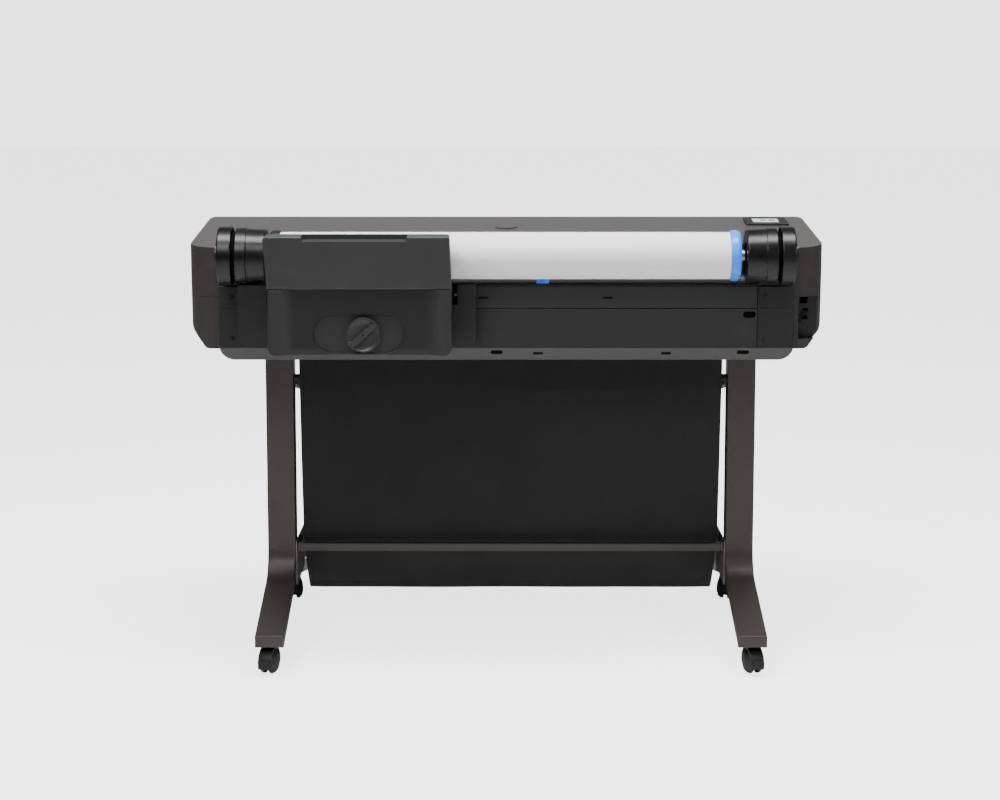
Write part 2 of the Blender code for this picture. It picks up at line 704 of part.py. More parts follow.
def side_x(z):
    """Half width of the body at a height: the sides lean in a little towards the bottom."""
    return HALF_BODY - END_TAPER * (TOP_REAR_Z - z) / (TOP_REAR_Z - END_Z)


def end_plan(side, start_x, inset):
    """Plan (x, y) of an end, rounded at its outer corners, stepped round the drum's pocket."""
    pocket_y = TROUGH_BACK_Y + inset
    step_x = HALF_CORE + TOUCH_GAP + inset
    rear = END_REAR_Y + inset
    corners = [(HALF_BODY - inset, rear, END_REAR_RADIUS - inset),
               (HALF_BODY - inset, FRONT_Y - inset, END_FRONT_RADIUS - inset),
               (start_x, FRONT_Y - inset, 0)]
    if start_x < HALF_CORE:
        corners = [(start_x, pocket_y, 0), (step_x, pocket_y, 0), (step_x, rear, 0)] + corners
    else:
        corners = [(start_x, rear, 0)] + corners
    return [(side * x, y) for x, y in rounded_outline(corners, 8)]


def top_section(low_z, inset):
    """Section (y, z) of the ends and the cover, with the front edge well rounded."""
    top = -inset
    return rounded_outline([
        (END_REAR_Y - 0.02, low_z, 0), (FRONT_Y - inset, low_z, 0),
        (FRONT_Y - inset, top_z(FRONT_Y) + top, TOP_FRONT_RADIUS - inset),
        (END_REAR_Y - 0.02, top_z(END_REAR_Y - 0.02) + top, 0)], 8)


def side_section(side, low_z, high_z, inset):
    """Section (x, z) of an end: leaning side, and below the seam a chamfered lower corner."""
    inner = HALF_COVER - 0.05
    if low_z > END_CHAMFER_Z:
        corners = [(inner, low_z, 0), (side_x(low_z) - inset, low_z, 0),
                   (side_x(high_z) - inset, high_z, 0)]
    else:
        low_z += inset
        corners = [(inner, low_z, 0), (HALF_BODY - END_CHAMFER_X - inset, low_z, 0.012),
                   (side_x(END_CHAMFER_Z) - inset, END_CHAMFER_Z, 0.030),
                   (side_x(high_z) - inset, high_z, 0)]
    return [(side * x, z) for x, z in rounded_outline(corners + [(inner, high_z, 0)], 5)]


def make_end_cover(side):
    """The upper shell of an end: top corner, drum pocket and the rounded outer wall."""
    start = HALF_COVER + TOUCH_GAP
    low = END_SEAM_Z + TOUCH_GAP
    high = TOP_FRONT_Z + 0.02
    name = f"end_cover_{side_name(side)}"
    cover = add_part(name, outline_mesh(end_plan(side, start, 0), low, high, "XY"), TOP_BROWN)
    keep(cover, outline_mesh(top_section(low - 0.01, 0), -HALF_BODY - 0.02, HALF_BODY + 0.02, "YZ"))
    keep(cover, outline_mesh(side_section(side, low - 0.005, high + 0.01, 0), REAR_Y - 0.05,
                             FRONT_Y + 0.05, "XZ"))
    round_edges(cover, 0.0025, 2, 50)
    cavity = cut(cover, outline_mesh(end_plan(side, start - 0.01, WALL), low - 0.01, high, "XY"))
    keep(cavity, outline_mesh(top_section(low - 0.02, WALL), -HALF_BODY - 0.02, HALF_BODY + 0.02, "YZ"))
    keep(cavity, outline_mesh(side_section(side, low - 0.015, high + 0.01, WALL), REAR_Y - 0.05,
                              FRONT_Y + 0.05, "XZ"))
    if side > 0:
        cut(cover, cylinder_mesh((BUTTON_X, FRONT_Y, BUTTON_Z), BUTTON_RADIUS + 0.0005, 0.03, "Y"))
    return cover


def make_side_panel(side):
    """The lower shell of an end, open inwards; the right one has a recess for the sockets."""
    start = HALF_CORE + TOUCH_GAP
    name = f"side_panel_{side_name(side)}"
    panel = add_part(name, outline_mesh(end_plan(side, start, 0), END_Z, PAN_FRONT_Z, "XY"), DARK_PLASTIC)
    keep(panel, outline_mesh(side_section(side, END_Z, END_SEAM_Z + 0.01, 0), REAR_Y - 0.05,
                             FRONT_Y + 0.05, "XZ"))
    round_edges(panel, 0.0025, 2, 50)
    cavity = cut(panel, outline_mesh(end_plan(side, start - 0.0001, WALL), END_Z + WALL, END_SEAM_Z + 0.02,
                                     "XY"))
    keep(cavity, outline_mesh(side_section(side, END_Z, END_SEAM_Z + 0.03, WALL), REAR_Y - 0.05,
                              FRONT_Y + 0.05, "XZ"))
    if side > 0:
        cut(panel, block_mesh((PORT_LEFT_X, REAR_Y, PORT_LOW_Z), (HALF_BODY + 0.02, PORT_Y,
                                                                  END_SEAM_Z + 0.02)))
    return panel


def make_ports():
    """The socket plate in the recess, and the mains inlet let into it."""
    low = (PORT_LEFT_X - 0.004, PORT_Y + TOUCH_GAP, PORT_LOW_Z - 0.004)
    high = (PORT_RIGHT_X + 0.002, PORT_Y + 0.003, PAN_FRONT_Z - 0.0005)
    plate = add_part("port_plate", block_mesh(low, high), BLACK_PLASTIC)
    fit = WALL + TOUCH_GAP
    keep(plate, outline_mesh(end_plan(1, HALF_CORE + TOUCH_GAP, fit), END_Z, END_SEAM_Z + 0.01, "XY"))
    keep(plate, outline_mesh(side_section(1, END_Z, END_SEAM_Z + 0.02, fit), REAR_Y, FRONT_Y, "XZ"))
    lan_x = PORT_LEFT_X + 0.014
    lan_z = END_SEAM_Z - 0.010
    for x, z, half_width, half_height in ((lan_x, lan_z, 0.008, 0.0065), (lan_x + 0.004, lan_z - 0.020,
                                                                          0.006, 0.003)):
        cut(plate, block_mesh((x - half_width, PORT_Y - 0.01, z - half_height),
                              (x + half_width, PORT_Y + 0.02, z + half_height)))
    inlet_x = PORT_LEFT_X + 0.0155
    inlet_z = END_SEAM_Z - 0.046
    cut(plate, cylinder_mesh((inlet_x, PORT_Y, inlet_z), 0.0105 + TOUCH_GAP, 0.03, "Y"))
    inlet = add_part("power_inlet", cylinder_mesh((inlet_x, PORT_Y + 0.006, inlet_z), 0.0105, 0.018, "Y"),
                     BLACK_PLASTIC)
    socket = rounded_outline(rectangle((inlet_x - 0.0065, inlet_z - 0.0045),
                                       (inlet_x + 0.0065, inlet_z + 0.0045),
                                       0.0035), 3)
    cut(inlet, outline_mesh(socket, PORT_Y - 0.02, PORT_Y + 0.010, "XZ"))


def make_roll_mount(side):
    """The screwed block at a rear corner and the saddle above it in which a drum sits."""
    outer = HALF_CORE - TOUCH_GAP
    inner = (MOUNT_RIGHT_X if side > 0 else -MOUNT_LEFT_X) + TOUCH_GAP
    across = sorted((side * inner, side * outer))
    back = REAR_Y + MOUNT_DEPTH
    name = f"roll_mount_{side_name(side)}"
    block = add_part(name, block_mesh((across[0], REAR_Y, BAND_Z + TOUCH_GAP),
                                      (across[1], back, PANEL_TOP_Z)),
                     DARK_PLASTIC)
    round_edges(block, 0.0015)
    saddle_x = sorted((side * (HALF_COVER + TOUCH_GAP), side * outer))
    saddle_back = TROUGH_BACK_Y - TOUCH_GAP
    saddle = rounded_outline([(REAR_Y + 0.004, PANEL_TOP_Z + TOUCH_GAP, 0), (back, PANEL_TOP_Z + TOUCH_GAP,
                                                                             0),
                              (back, PANEL_TOP_Z - 0.004, 0), (saddle_back, PANEL_TOP_Z - 0.004, 0),
                              (saddle_back, ROLL_Z - 0.010, 0.004), (REAR_Y + 0.004, ROLL_Z - 0.010, 0)])
    saddle_mesh = outline_mesh(saddle, *saddle_x, "YZ")
    join(block, saddle_mesh)
    join(block, block_mesh((across[0] + 0.002, REAR_Y + 0.006, PANEL_TOP_Z - 0.01),
                           (across[1] - 0.002, back - 0.002, PANEL_TOP_Z + 0.01)))
    cut(block, cylinder_mesh((side * HALF_CORE, ROLL_Y, ROLL_Z), DRUM_RADIUS + TOUCH_GAP, 0.2, "X",
                             DRUM_SIDES))
    flange = DRUM_FLANGE_RADIUS + 0.0008
    flange_x = side * (DRUM_START + DRUM_LENGTH - 0.010)
    cut(block, cylinder_mesh((flange_x, ROLL_Y, ROLL_Z), flange, 0.034, "X", DRUM_SIDES))
    cut(block, block_mesh((across[0] - 0.01, REAR_Y - 0.01, PANEL_SEAM_Z - 0.0004),
                          (across[1] + 0.01, REAR_Y + 0.001, PANEL_SEAM_Z + 0.0004)))


def make_drum(side):
    """The glossy end housing that carries the spindle: collar, barrel, groove and flange."""
    length = DRUM_LENGTH
    profile = [(0, length + 0.0065), (0.028, length + 0.0065), (0.028, length),
               (DRUM_FLANGE_RADIUS - 0.002, length), (DRUM_FLANGE_RADIUS, length - 0.002),
               (DRUM_FLANGE_RADIUS, length - 0.013), (DRUM_FLANGE_RADIUS - 0.002, length - 0.015),
               (DRUM_RADIUS - 0.0085, length - 0.015),
               (DRUM_RADIUS - 0.0085, length - 0.0255), (DRUM_RADIUS - 0.0015, length - 0.0255),
               (DRUM_RADIUS, length - 0.027), (DRUM_RADIUS, length - 0.050),
               (DRUM_RADIUS - 0.004, length - 0.052),
               (DRUM_RADIUS - 0.0055, 0.004), (DRUM_RADIUS - 0.0085, 0), (0.030, 0), (0.026, 0.003),
               (0, 0.003)]
    drum = turned(f"drum_{side_name(side)}", profile, (0, ROLL_Y, ROLL_Z), "X", GLOSS_BLACK, DRUM_SIDES)
    if side < 0:
        drum.rotation_euler = (0, -math.pi / 2, 0)
    drum.location.x = side * DRUM_START
    return drum


def make_trough():
    """The curved channel behind the roll, with the slot that takes the paper in."""
    half = HALF_COVER - TOUCH_GAP
    wall = TROUGH_WALL
    top = top_z(TROUGH_BACK_Y) - WALL - TOUCH_GAP
    low = PANEL_TOP_Z + TOUCH_GAP
    outline = rounded_outline([
        (REAR_Y, low, 0), (TROUGH_BACK_Y + wall, low, 0.020), (TROUGH_BACK_Y + wall, top, 0),
        (TROUGH_BACK_Y, top, 0), (TROUGH_BACK_Y, low + wall, 0.016), (REAR_Y, low + wall, 0.002)])
    trough = add_part("roll_trough", outline_mesh(outline, -half, half, "YZ"), BLACK_PLASTIC)
    slot_z = low + 0.022
    slot_half = ROLL_WIDTH / 2 + 0.008
    cut(trough, block_mesh((-slot_half, TROUGH_BACK_Y - 0.01, slot_z),
                           (slot_half, TROUGH_BACK_Y + wall + 0.01, slot_z + SLOT_HEIGHT)))
    tab_low = low + wall + TOUCH_GAP
    tab = add_part("width_tab", block_mesh((0.062, REAR_Y + 0.002, tab_low), (0.088, REAR_Y + 0.016,
                                                                              tab_low + 0.010)),
                   BLUE_PLASTIC)
    round_edges(tab, 0.001)
    cut(tab, block_mesh((0.070, REAR_Y - 0.01, tab_low + 0.004), (0.073, REAR_Y + 0.006, tab_low + 0.02)))


def make_main_cover():
    """The long lid over the carriage, hinged along its rear edge, with a blank badge."""
    outer = rounded_outline([(TROUGH_BACK_Y, top_z(TROUGH_BACK_Y), 0),
                             (FRONT_Y, top_z(FRONT_Y), TOP_FRONT_RADIUS), (FRONT_Y, COVER_FRONT_Z, 0.001)],
                            8)
    inner = rounded_outline([(FRONT_Y - WALL, COVER_FRONT_Z, 0.001),
                             (FRONT_Y - WALL, top_z(FRONT_Y) - WALL, TOP_FRONT_RADIUS - WALL),
                             (TROUGH_BACK_Y, top_z(TROUGH_BACK_Y) - WALL, 0)], 8)
    hinge = (0, TROUGH_BACK_Y, top_z(TROUGH_BACK_Y))
    cover = add_part("main_cover", outline_mesh(outer + inner, -HALF_COVER, HALF_COVER, "YZ"), TOP_BROWN,
                     hinge)
    badge = cylinder_mesh((0, 0, 0), BADGE_RADIUS, 2 * BADGE_HEIGHT, "Z", 40)
    badge.transform(Matrix.Translation((BADGE_X, BADGE_Y, top_z(BADGE_Y)))
                    @ Matrix.Rotation(math.atan(TOP_SLOPE), 4, "X"))
    join(cover, badge)


def make_output_deck():
    """The ribbed platen under the carriage and the deck that leads sheets out over the front."""
    half = HALF_COVER - TOUCH_GAP
    rear = FEED_Y + FEED_RADIUS + RUNNING_GAP
    low = PAN_FRONT_Z + 2 * TOUCH_GAP
    outline = rounded_outline([
        (rear, PLATEN_Z - 0.006, 0), (PLATEN_FRONT_Y, PLATEN_Z - 0.006, 0.01),
                               (FRONT_Y - 0.030, low + 0.006, 0.01),
        (FRONT_Y - 0.006, low, 0), (FRONT_Y, low, 0), (FRONT_Y, low + 0.010, 0.008),
        (PLATEN_FRONT_Y, PLATEN_Z - 0.002, 0.02), (rear, PLATEN_Z - 0.002, 0)], 5)
    deck = add_part("output_deck", outline_mesh(outline, -half, half, "YZ"), DARK_PLASTIC)
    for side in (-1, 1):
        across = sorted((side * (FEED_HALF + 0.004), side * (half + 0.01)))
        cut(deck, block_mesh((across[0], rear - 0.01, PLATEN_Z - 0.03),
                             (across[1], CARRIAGE_FRONT_Y + TOUCH_GAP, PLATEN_Z + 0.01)))
    pitch = ROLL_WIDTH / PLATEN_RIBS
    for rib in range(PLATEN_RIBS):
        x = (rib + 0.5) * pitch - ROLL_WIDTH / 2
        join(deck, block_mesh((x - 0.0015, rear + 0.004, PLATEN_Z - 0.004),
                              (x + 0.0015, PLATEN_FRONT_Y - 0.01, PLATEN_Z)))


# ---- printing ----


def make_frame():
    """The sheet-metal beam the carriage hangs on, with end legs that also bear the feed shaft."""
    far_y = RAIL_Y + RAIL_THICKNESS
    frame = add_part("carriage_frame", block_mesh((-BEAM_X, RAIL_Y, RAIL_LOW_Z),
                                                  (BEAM_X, far_y, RAIL_HIGH_Z)), STEEL)
    fold = 0.003
    for side in (-1, 1):
        across = sorted((side * FRAME_X, side * (FRAME_X + FRAME_LEG)))
        join(frame, block_mesh((across[0], RAIL_Y + 0.0005, FLOOR_Z), (across[1], far_y - 0.0005,
                                                                       RAIL_LOW_Z + 0.004)))
        across = sorted((side * (FRAME_X + 0.001), side * (FRAME_X + 0.001 + fold)))
        join(frame, block_mesh((across[0], FEED_Y - 0.016, FLOOR_Z + 0.001),
                               (across[1], RAIL_Y + 0.004, FEED_Z + 0.014)))
    cut(frame, cylinder_mesh((0, FEED_Y, FEED_Z), SHAFT_RADIUS + 0.0005, 3 * FRAME_X, "X", 20))


def make_feed_roller():
    reach = FRAME_X + 0.006
    half = [(0, reach), (SHAFT_RADIUS, reach), (SHAFT_RADIUS, FEED_HALF + 0.001),
            (FEED_RADIUS - 0.001, FEED_HALF), (FEED_RADIUS, FEED_HALF - 0.001)]
    profile = half + [(radius, -height) for radius, height in half[::-1]]
    turned("feed_roller", profile, (0, FEED_Y, FEED_Z), "X", RUBBER, 28)


def make_carriage():
    """The printhead carriage, hooked over the beam, parked over the service station."""
    low_z = PLATEN_Z + 0.011
    behind = RAIL_Y - RUNNING_GAP
    front = RAIL_Y + RAIL_THICKNESS + RUNNING_GAP
    over = RAIL_HIGH_Z + RUNNING_GAP
    outline = [(front, low_z), (CARRIAGE_FRONT_Y, low_z), (CARRIAGE_FRONT_Y, CARRIAGE_TOP_Z - 0.018),
               (CARRIAGE_FRONT_Y - 0.020, CARRIAGE_TOP_Z), (behind - 0.012, CARRIAGE_TOP_Z),
               (behind - 0.012, over - 0.016), (behind, over - 0.016), (behind, over), (front, over)]
    across = (CARRIAGE_X - CARRIAGE_WIDTH / 2, CARRIAGE_X + CARRIAGE_WIDTH / 2)
    carriage = add_part("carriage", outline_mesh(outline, *across, "YZ"), BLACK_PLASTIC,
                        (CARRIAGE_X, front, CARRIAGE_TOP_Z))
    round_edges(carriage, 0.001)


def make_service_station():
    """The box that caps and wipes the printhead, with its two cap wells."""
    low = (CARRIAGE_X - 0.042, RAIL_Y + RAIL_THICKNESS + 0.003, FLOOR_Z)
    high = (FRAME_X + FRAME_LEG, CARRIAGE_FRONT_Y - 0.003, PLATEN_Z + 0.006)
    station = add_part("service_station", block_mesh(low, high), BLACK_PLASTIC)
    for y in (low[1] + 0.012, low[1] + 0.048):
        cut(station, block_mesh((low[0] + 0.006, y, high[2] - 0.004), (high[0] - 0.006, y + 0.024,
                                                                       high[2] + 0.01)))


def make_ink_bay():
    """The bay behind the small front door, with one slot for each cartridge."""
    left, right = BAY_LEFT_X + TOUCH_GAP, BAY_RIGHT_X - TOUCH_GAP
    back, front = 0.125, FRONT_Y - 0.014
    outline = [(back, FLOOR_Z), (FRONT_Y - 0.060, FLOOR_Z), (front, BAY_LOW_Z - 0.004),
               (front, BAY_HIGH_Z), (back, BAY_HIGH_Z)]
    bay = add_part("ink_bay", outline_mesh(outline, left, right, "YZ"), BLACK_PLASTIC)
    keep(bay, outline_mesh(pan_front(WALL + TOUCH_GAP, BAY_HIGH_Z + 0.01), back - 0.01, front + 0.01, "XZ"))
    rib = 0.002
    pitch = (right - left - rib) / CARTRIDGES
    for index in range(CARTRIDGES):
        slot_left = left + rib + index * pitch
        slot = ((slot_left, back + 0.004, BAY_LOW_Z), (slot_left + pitch - rib, front + 0.01,
                                                       BAY_HIGH_Z - 0.002))
        cut(bay, block_mesh(*slot))
        low = [value + TOUCH_GAP for value in slot[0]]
        high = (slot[1][0] - TOUCH_GAP, front + 0.003, BAY_HIGH_Z - 0.002 - TOUCH_GAP)
        round_edges(add_part(f"cartridge_{index + 1}", block_mesh(low, high), INKS[index]), 0.0015)
    low = (BAY_LEFT_X + TOUCH_GAP, FRONT_Y - WALL, DOOR_LOW_Z + TOUCH_GAP)
    high = (BAY_RIGHT_X - TOUCH_GAP, FRONT_Y, PAN_FRONT_Z - TOUCH_GAP)
    round_edges(add_part("ink_door", block_mesh(low, high), DARK_PLASTIC,
                         (0, FRONT_Y, DOOR_LOW_Z + 0.0015)), 0.001)


def make_button():
    inside = WALL + TOUCH_GAP
    profile = [(0, 0.0018), (BUTTON_RADIUS - 0.001, 0.0018), (BUTTON_RADIUS, 0.0008),
               (BUTTON_RADIUS, -inside),
               (BUTTON_RADIUS + 0.002, -inside), (BUTTON_RADIUS + 0.002, -inside - 0.002),
               (0, -inside - 0.002)]
    turned("power_button", profile, (BUTTON_X, FRONT_Y, BUTTON_Z), "Y", GLOSS_BLACK, 24)


def make_touch_panel():
    near, far = PANEL_Y - PANEL_DEPTH / 2, PANEL_Y + PANEL_DEPTH / 2
    seat = TOUCH_GAP
    outline = [(near, top_z(near) + seat), (far, top_z(far) + seat),
               (far, top_z(far) + PANEL_HEIGHT), (near, top_z(near) + PANEL_HEIGHT)]
    mesh = outline_mesh(outline, PANEL_X - PANEL_WIDTH / 2, PANEL_X + PANEL_WIDTH / 2, "YZ")
    round_edges(add_part("touch_panel", mesh, SCREEN_BLACK), 0.0012)


# ---- roll ----

def make_roll():
    """The spindle with its hubs, the card core on them and the paper wound on the core."""
    axle = empty_at("spindle_axle", (0, ROLL_Y, ROLL_Z))
    reach = DRUM_START - 2 * TOUCH_GAP
    turned("spindle", [(0, reach), (SPINDLE_RADIUS - 0.001, reach), (SPINDLE_RADIUS, reach - 0.001),
                       (SPINDLE_RADIUS, 0.001 - reach), (SPINDLE_RADIUS - 0.001, -reach), (0, -reach)],
           (0, 0, 0), "X", STEEL, 28, parent=axle)
    half = ROLL_WIDTH / 2
    bore = CORE_RADIUS - CORE_WALL
    turned("paper_roll", ring_profile(ROLL_RADIUS, CORE_RADIUS + TOUCH_GAP, -half, half),
           (ROLL_SHIFT, 0, 0), "X", PAPER, 56, parent=axle)
    turned("roll_core", ring_profile(CORE_RADIUS, bore, -half, half), (ROLL_SHIFT, 0, 0), "X", CARD, 36,
           parent=axle)
    for side, material in ((-1, BLACK_PLASTIC), (1, BLUE_PLASTIC)):
        hole = SPINDLE_RADIUS + TOUCH_GAP
        profile = [(hole, HUB_THICKNESS), (HUB_RADIUS - 0.010, HUB_THICKNESS),
                   (HUB_RADIUS - 0.004, HUB_THICKNESS - 0.001), (HUB_RADIUS, HUB_THICKNESS - 0.007),
                   (HUB_RADIUS, 0.004), (HUB_RADIUS - 0.002, TOUCH_GAP), (bore - TOUCH_GAP, TOUCH_GAP),
                   (bore - TOUCH_GAP, 0.003 - HUB_PLUG), (bore - 0.003, -HUB_PLUG), (hole, -HUB_PLUG),
                   (hole, HUB_THICKNESS)]
        hub = turned(f"hub_{side_name(side)}", profile, (ROLL_SHIFT + side * half, 0, 0), "X", material, 32,
                     parent=axle)
        if side < 0:
            hub.rotation_euler = (0, -math.pi / 2, 0)


# ---- sheet feeder ----


def make_feeder_bracket(side):
    outer, inner = ((BRACKET_LEFT_X, FEEDER_LEFT_X - TOUCH_GAP) if side < 0
                    else (BRACKET_RIGHT_X, FEEDER_RIGHT_X + TOUCH_GAP))
    step = inner - side * -0.010
    outline = rounded_outline([
        (outer, BRACKET_LOW_Z, 0.006), (inner, BRACKET_LOW_Z, 0), (inner, BRACKET_HIGH_Z - 0.040, 0),
        (step, BRACKET_HIGH_Z - 0.040, 0), (step, BRACKET_HIGH_Z, 0.0015), (outer, BRACKET_HIGH_Z, 0.003)],
                              4)
    mesh = outline_mesh(outline, REAR_Y - BRACKET_DEPTH, FEEDER_BACK_Y, "XZ")
    bracket = add_part(f"feeder_bracket_{side_name(side)}", mesh, BLACK_PLASTIC)
    round_edges(bracket, 0.001)


def feeder_plan():
    """Plan (x, y) of the housing: two pillars, facets sloping in, and a set-back face between."""
    left, right = FEEDER_LEFT_X, FEEDER_RIGHT_X
    return rounded_outline([
        (left, FEEDER_BACK_Y, 0), (right, FEEDER_BACK_Y, 0), (right, FEEDER_FRONT_Y, 0.006),
        (right - PILLAR_WIDTH, FEEDER_FRONT_Y, 0.010), (right - PILLAR_WIDTH - FACET_WIDTH, FACE_Y, 0.012),
        (left + PILLAR_WIDTH + FACET_WIDTH, FACE_Y, 0.012), (left + PILLAR_WIDTH, FEEDER_FRONT_Y, 0.010),
        (left, FEEDER_FRONT_Y, 0.006)], 4)


def make_feeder_housing():
    """The feeder's moulded body, open at the top, with the stadium recess round the lock knob."""
    left, right = FEEDER_LEFT_X, FEEDER_RIGHT_X
    housing = add_part("feeder_housing", outline_mesh(feeder_plan(), FEEDER_Z, FEEDER_SEAM_Z, "XY"),
                       DARK_PLASTIC)
    front = rounded_outline([(left, FEEDER_Z, 0.014), (right, FEEDER_Z, 0.014),
                             (right, FEEDER_SEAM_Z + 0.01, 0), (left, FEEDER_SEAM_Z + 0.01, 0)])
    keep(housing, outline_mesh(front, FEEDER_FRONT_Y - 0.01, REAR_Y + 0.01, "XZ"))
    cut(housing, block_mesh((left + 2 * WALL, CAVITY_Y, FEEDER_Z + 2 * WALL),
                            (right - 2 * WALL, FEEDER_BACK_Y - WALL, FEEDER_SEAM_Z + 0.01)))
    half = STADIUM_WIDTH / 2
    rise = STADIUM_HEIGHT / 2
    stadium = rounded_outline(rectangle((STADIUM_X - half, STADIUM_Z - rise),
                                        (STADIUM_X + half, STADIUM_Z + rise),
                                        rise - 0.0005), 12)
    recess = cut(housing, outline_mesh(stadium, FEEDER_FRONT_Y - 0.01, SEAT_Y, "XZ"))
    keep(recess, block_mesh((left, FEEDER_FRONT_Y, FEEDER_Z + 0.0025),
                            (right, SEAT_Y + 0.01, FEEDER_SEAM_Z)))
    cut(housing, cylinder_mesh((KNOB_X, CAVITY_Y, KNOB_Z), 0.0066, 0.04, "Y"))
    lip = rounded_outline([(STADIUM_X - LIP_HALF, FEEDER_Z - 0.01, 0),
                           (STADIUM_X + LIP_HALF, FEEDER_Z - 0.01, 0),
                           (STADIUM_X + LIP_HALF - 0.008, FEEDER_Z + 0.0035, 0.002),
                           (STADIUM_X - LIP_HALF + 0.008, FEEDER_Z + 0.0035, 0.002)], 3)
    cut(housing, outline_mesh(lip, FEEDER_FRONT_Y - 0.01, FACE_Y + 0.0035, "XZ"))
    wall_y = (CAVITY_Y + FEEDER_BACK_Y) / 2
    reach = (right - left) / 2 - 2 * WALL - TOUCH_GAP
    roller = [(0, reach), (0.004, reach), (0.004, reach - 0.012), (PICK_RADIUS, reach - 0.013)]
    turned("pick_roller", roller + [(radius, -height) for radius, height in roller[::-1]],
           ((left + right) / 2, wall_y + 0.020, FEEDER_SEAM_Z - 0.050), "X", RUBBER, 24)


def make_tray_cover():
    """The feeder's lid, which folds down into its input tray, with a grip along the top."""
    left, right = FEEDER_LEFT_X, FEEDER_RIGHT_X
    low = FEEDER_SEAM_Z + TOUCH_GAP
    back = FEEDER_FRONT_Y + TRAY_DEPTH
    section = rounded_outline([(FEEDER_FRONT_Y, low, TRAY_HINGE_RADIUS), (back, low, 0),
                               (back, TRAY_TOP_Z, 0.006),
                               (FEEDER_FRONT_Y, TRAY_TOP_Z, 0.004)])
    hinge = ((left + right) / 2, FEEDER_FRONT_Y + TRAY_HINGE_RADIUS, low + TRAY_HINGE_RADIUS)
    lid = add_part("tray_cover", outline_mesh(section, left - 0.02, right + 0.02, "YZ"), DARK_PLASTIC,
                   hinge)
    face = rounded_outline([(left, low - 0.01, 0), (right, low - 0.01, 0), (right - TRAY_FLARE, TRAY_TOP_Z,
                                                                            0.007),
                            (left - 2 * TRAY_FLARE, TRAY_TOP_Z, 0.007)])
    keep(lid, outline_mesh(face, FEEDER_FRONT_Y - 0.01, back + 0.01, "XZ"))
    cut(lid, block_mesh((left + WALL, FEEDER_FRONT_Y + 2 * WALL, low - 0.01),
                        (right - 2 * WALL, back + 0.01, TRAY_TOP_Z - 0.014)))
    grip = rounded_outline([(GRIP_LEFT_X - 0.002, TRAY_TOP_Z + 0.02, 0),
                            (GRIP_LEFT_X + 0.004, TRAY_TOP_Z - 0.010, 0.002),
                            (GRIP_RIGHT_X - 0.004, TRAY_TOP_Z - 0.010, 0.002),
                            (GRIP_RIGHT_X + 0.002, TRAY_TOP_Z + 0.02, 0)], 3)
    cut(lid, outline_mesh(grip, FEEDER_FRONT_Y - 0.01, back - 0.008, "XZ"))


def make_knob():
    """The lock knob: a disc scooped on both sides of a diagonal grip rib, on a short shaft."""
    height = SEAT_Y - FEEDER_FRONT_Y
    bevel = 0.0015
    profile = [(0, 0), (KNOB_RADIUS - bevel, 0), (KNOB_RADIUS, -bevel), (KNOB_RADIUS, TOUCH_GAP - height),
               (0.006, TOUCH_GAP - height), (0.006, -height - 0.004), (0, -height - 0.004)]
    knob = turned("lock_knob", profile, (KNOB_X, FEEDER_FRONT_Y, KNOB_Z), "Y", DARK_PLASTIC, 48)
    knob.rotation_euler = (math.pi / 2, -KNOB_ANGLE, 0)
    scoop = 0.034
    for side in (-1, 1):
        bowl = bpy.data.meshes.new("scoop")
        form = bmesh.new()
        bmesh.ops.create_uvsphere(form, u_segments=28, v_segments=16, radius=scoop)
        lift = scoop - 0.011
        bmesh.ops.translate(form, verts=form.verts, vec=(0, side * (KNOB_RIB / 2 + 0.0155), lift))
        form.to_mesh(bowl)
        form.free()
        tool = cut(knob, bowl)
        tool.matrix_world = knob.matrix_basis
        shave = block_mesh((-0.1, side * KNOB_RIB / 2 if side > 0 else -0.1, -0.1),
                           (0.1, 0.1 if side > 0 else side * KNOB_RIB / 2, 0.1))
        keep(tool, shave).matrix_world = knob.matrix_basis
    cut(knob, cylinder_mesh((KNOB_X, FEEDER_FRONT_Y, KNOB_Z), 0.003, 0.012, "Y", 16))


def build():
    for side in (-1, 1):
        for end in ("rear", "front"):
            make_leg(side, end)
            make_caster(side, end)
        make_brace_ends(side)
        make_end_cover(side)
        make_side_panel(side)
        make_roll_mount(side)
        make_drum(side)
        make_feeder_bracket(side)
    make_brace()
    make_bin_frame()
    make_bin_fabric()
    make_base_pan()
    make_rear_panels()
    make_trough()
    make_main_cover()
    make_output_deck()
    make_ports()
    make_frame()
    make_feed_roller()
    make_carriage()
    make_service_station()
    make_ink_bay()
    make_button()
    make_touch_panel()
    make_roll()
    make_feeder_housing()
    make_tray_cover()
    make_knob()
    bpy.context.view_layer.update()


build()
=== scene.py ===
import json
import math
import bmesh
import bpy
from mathutils import Matrix, Vector
from mathutils.bvhtree import BVHTree


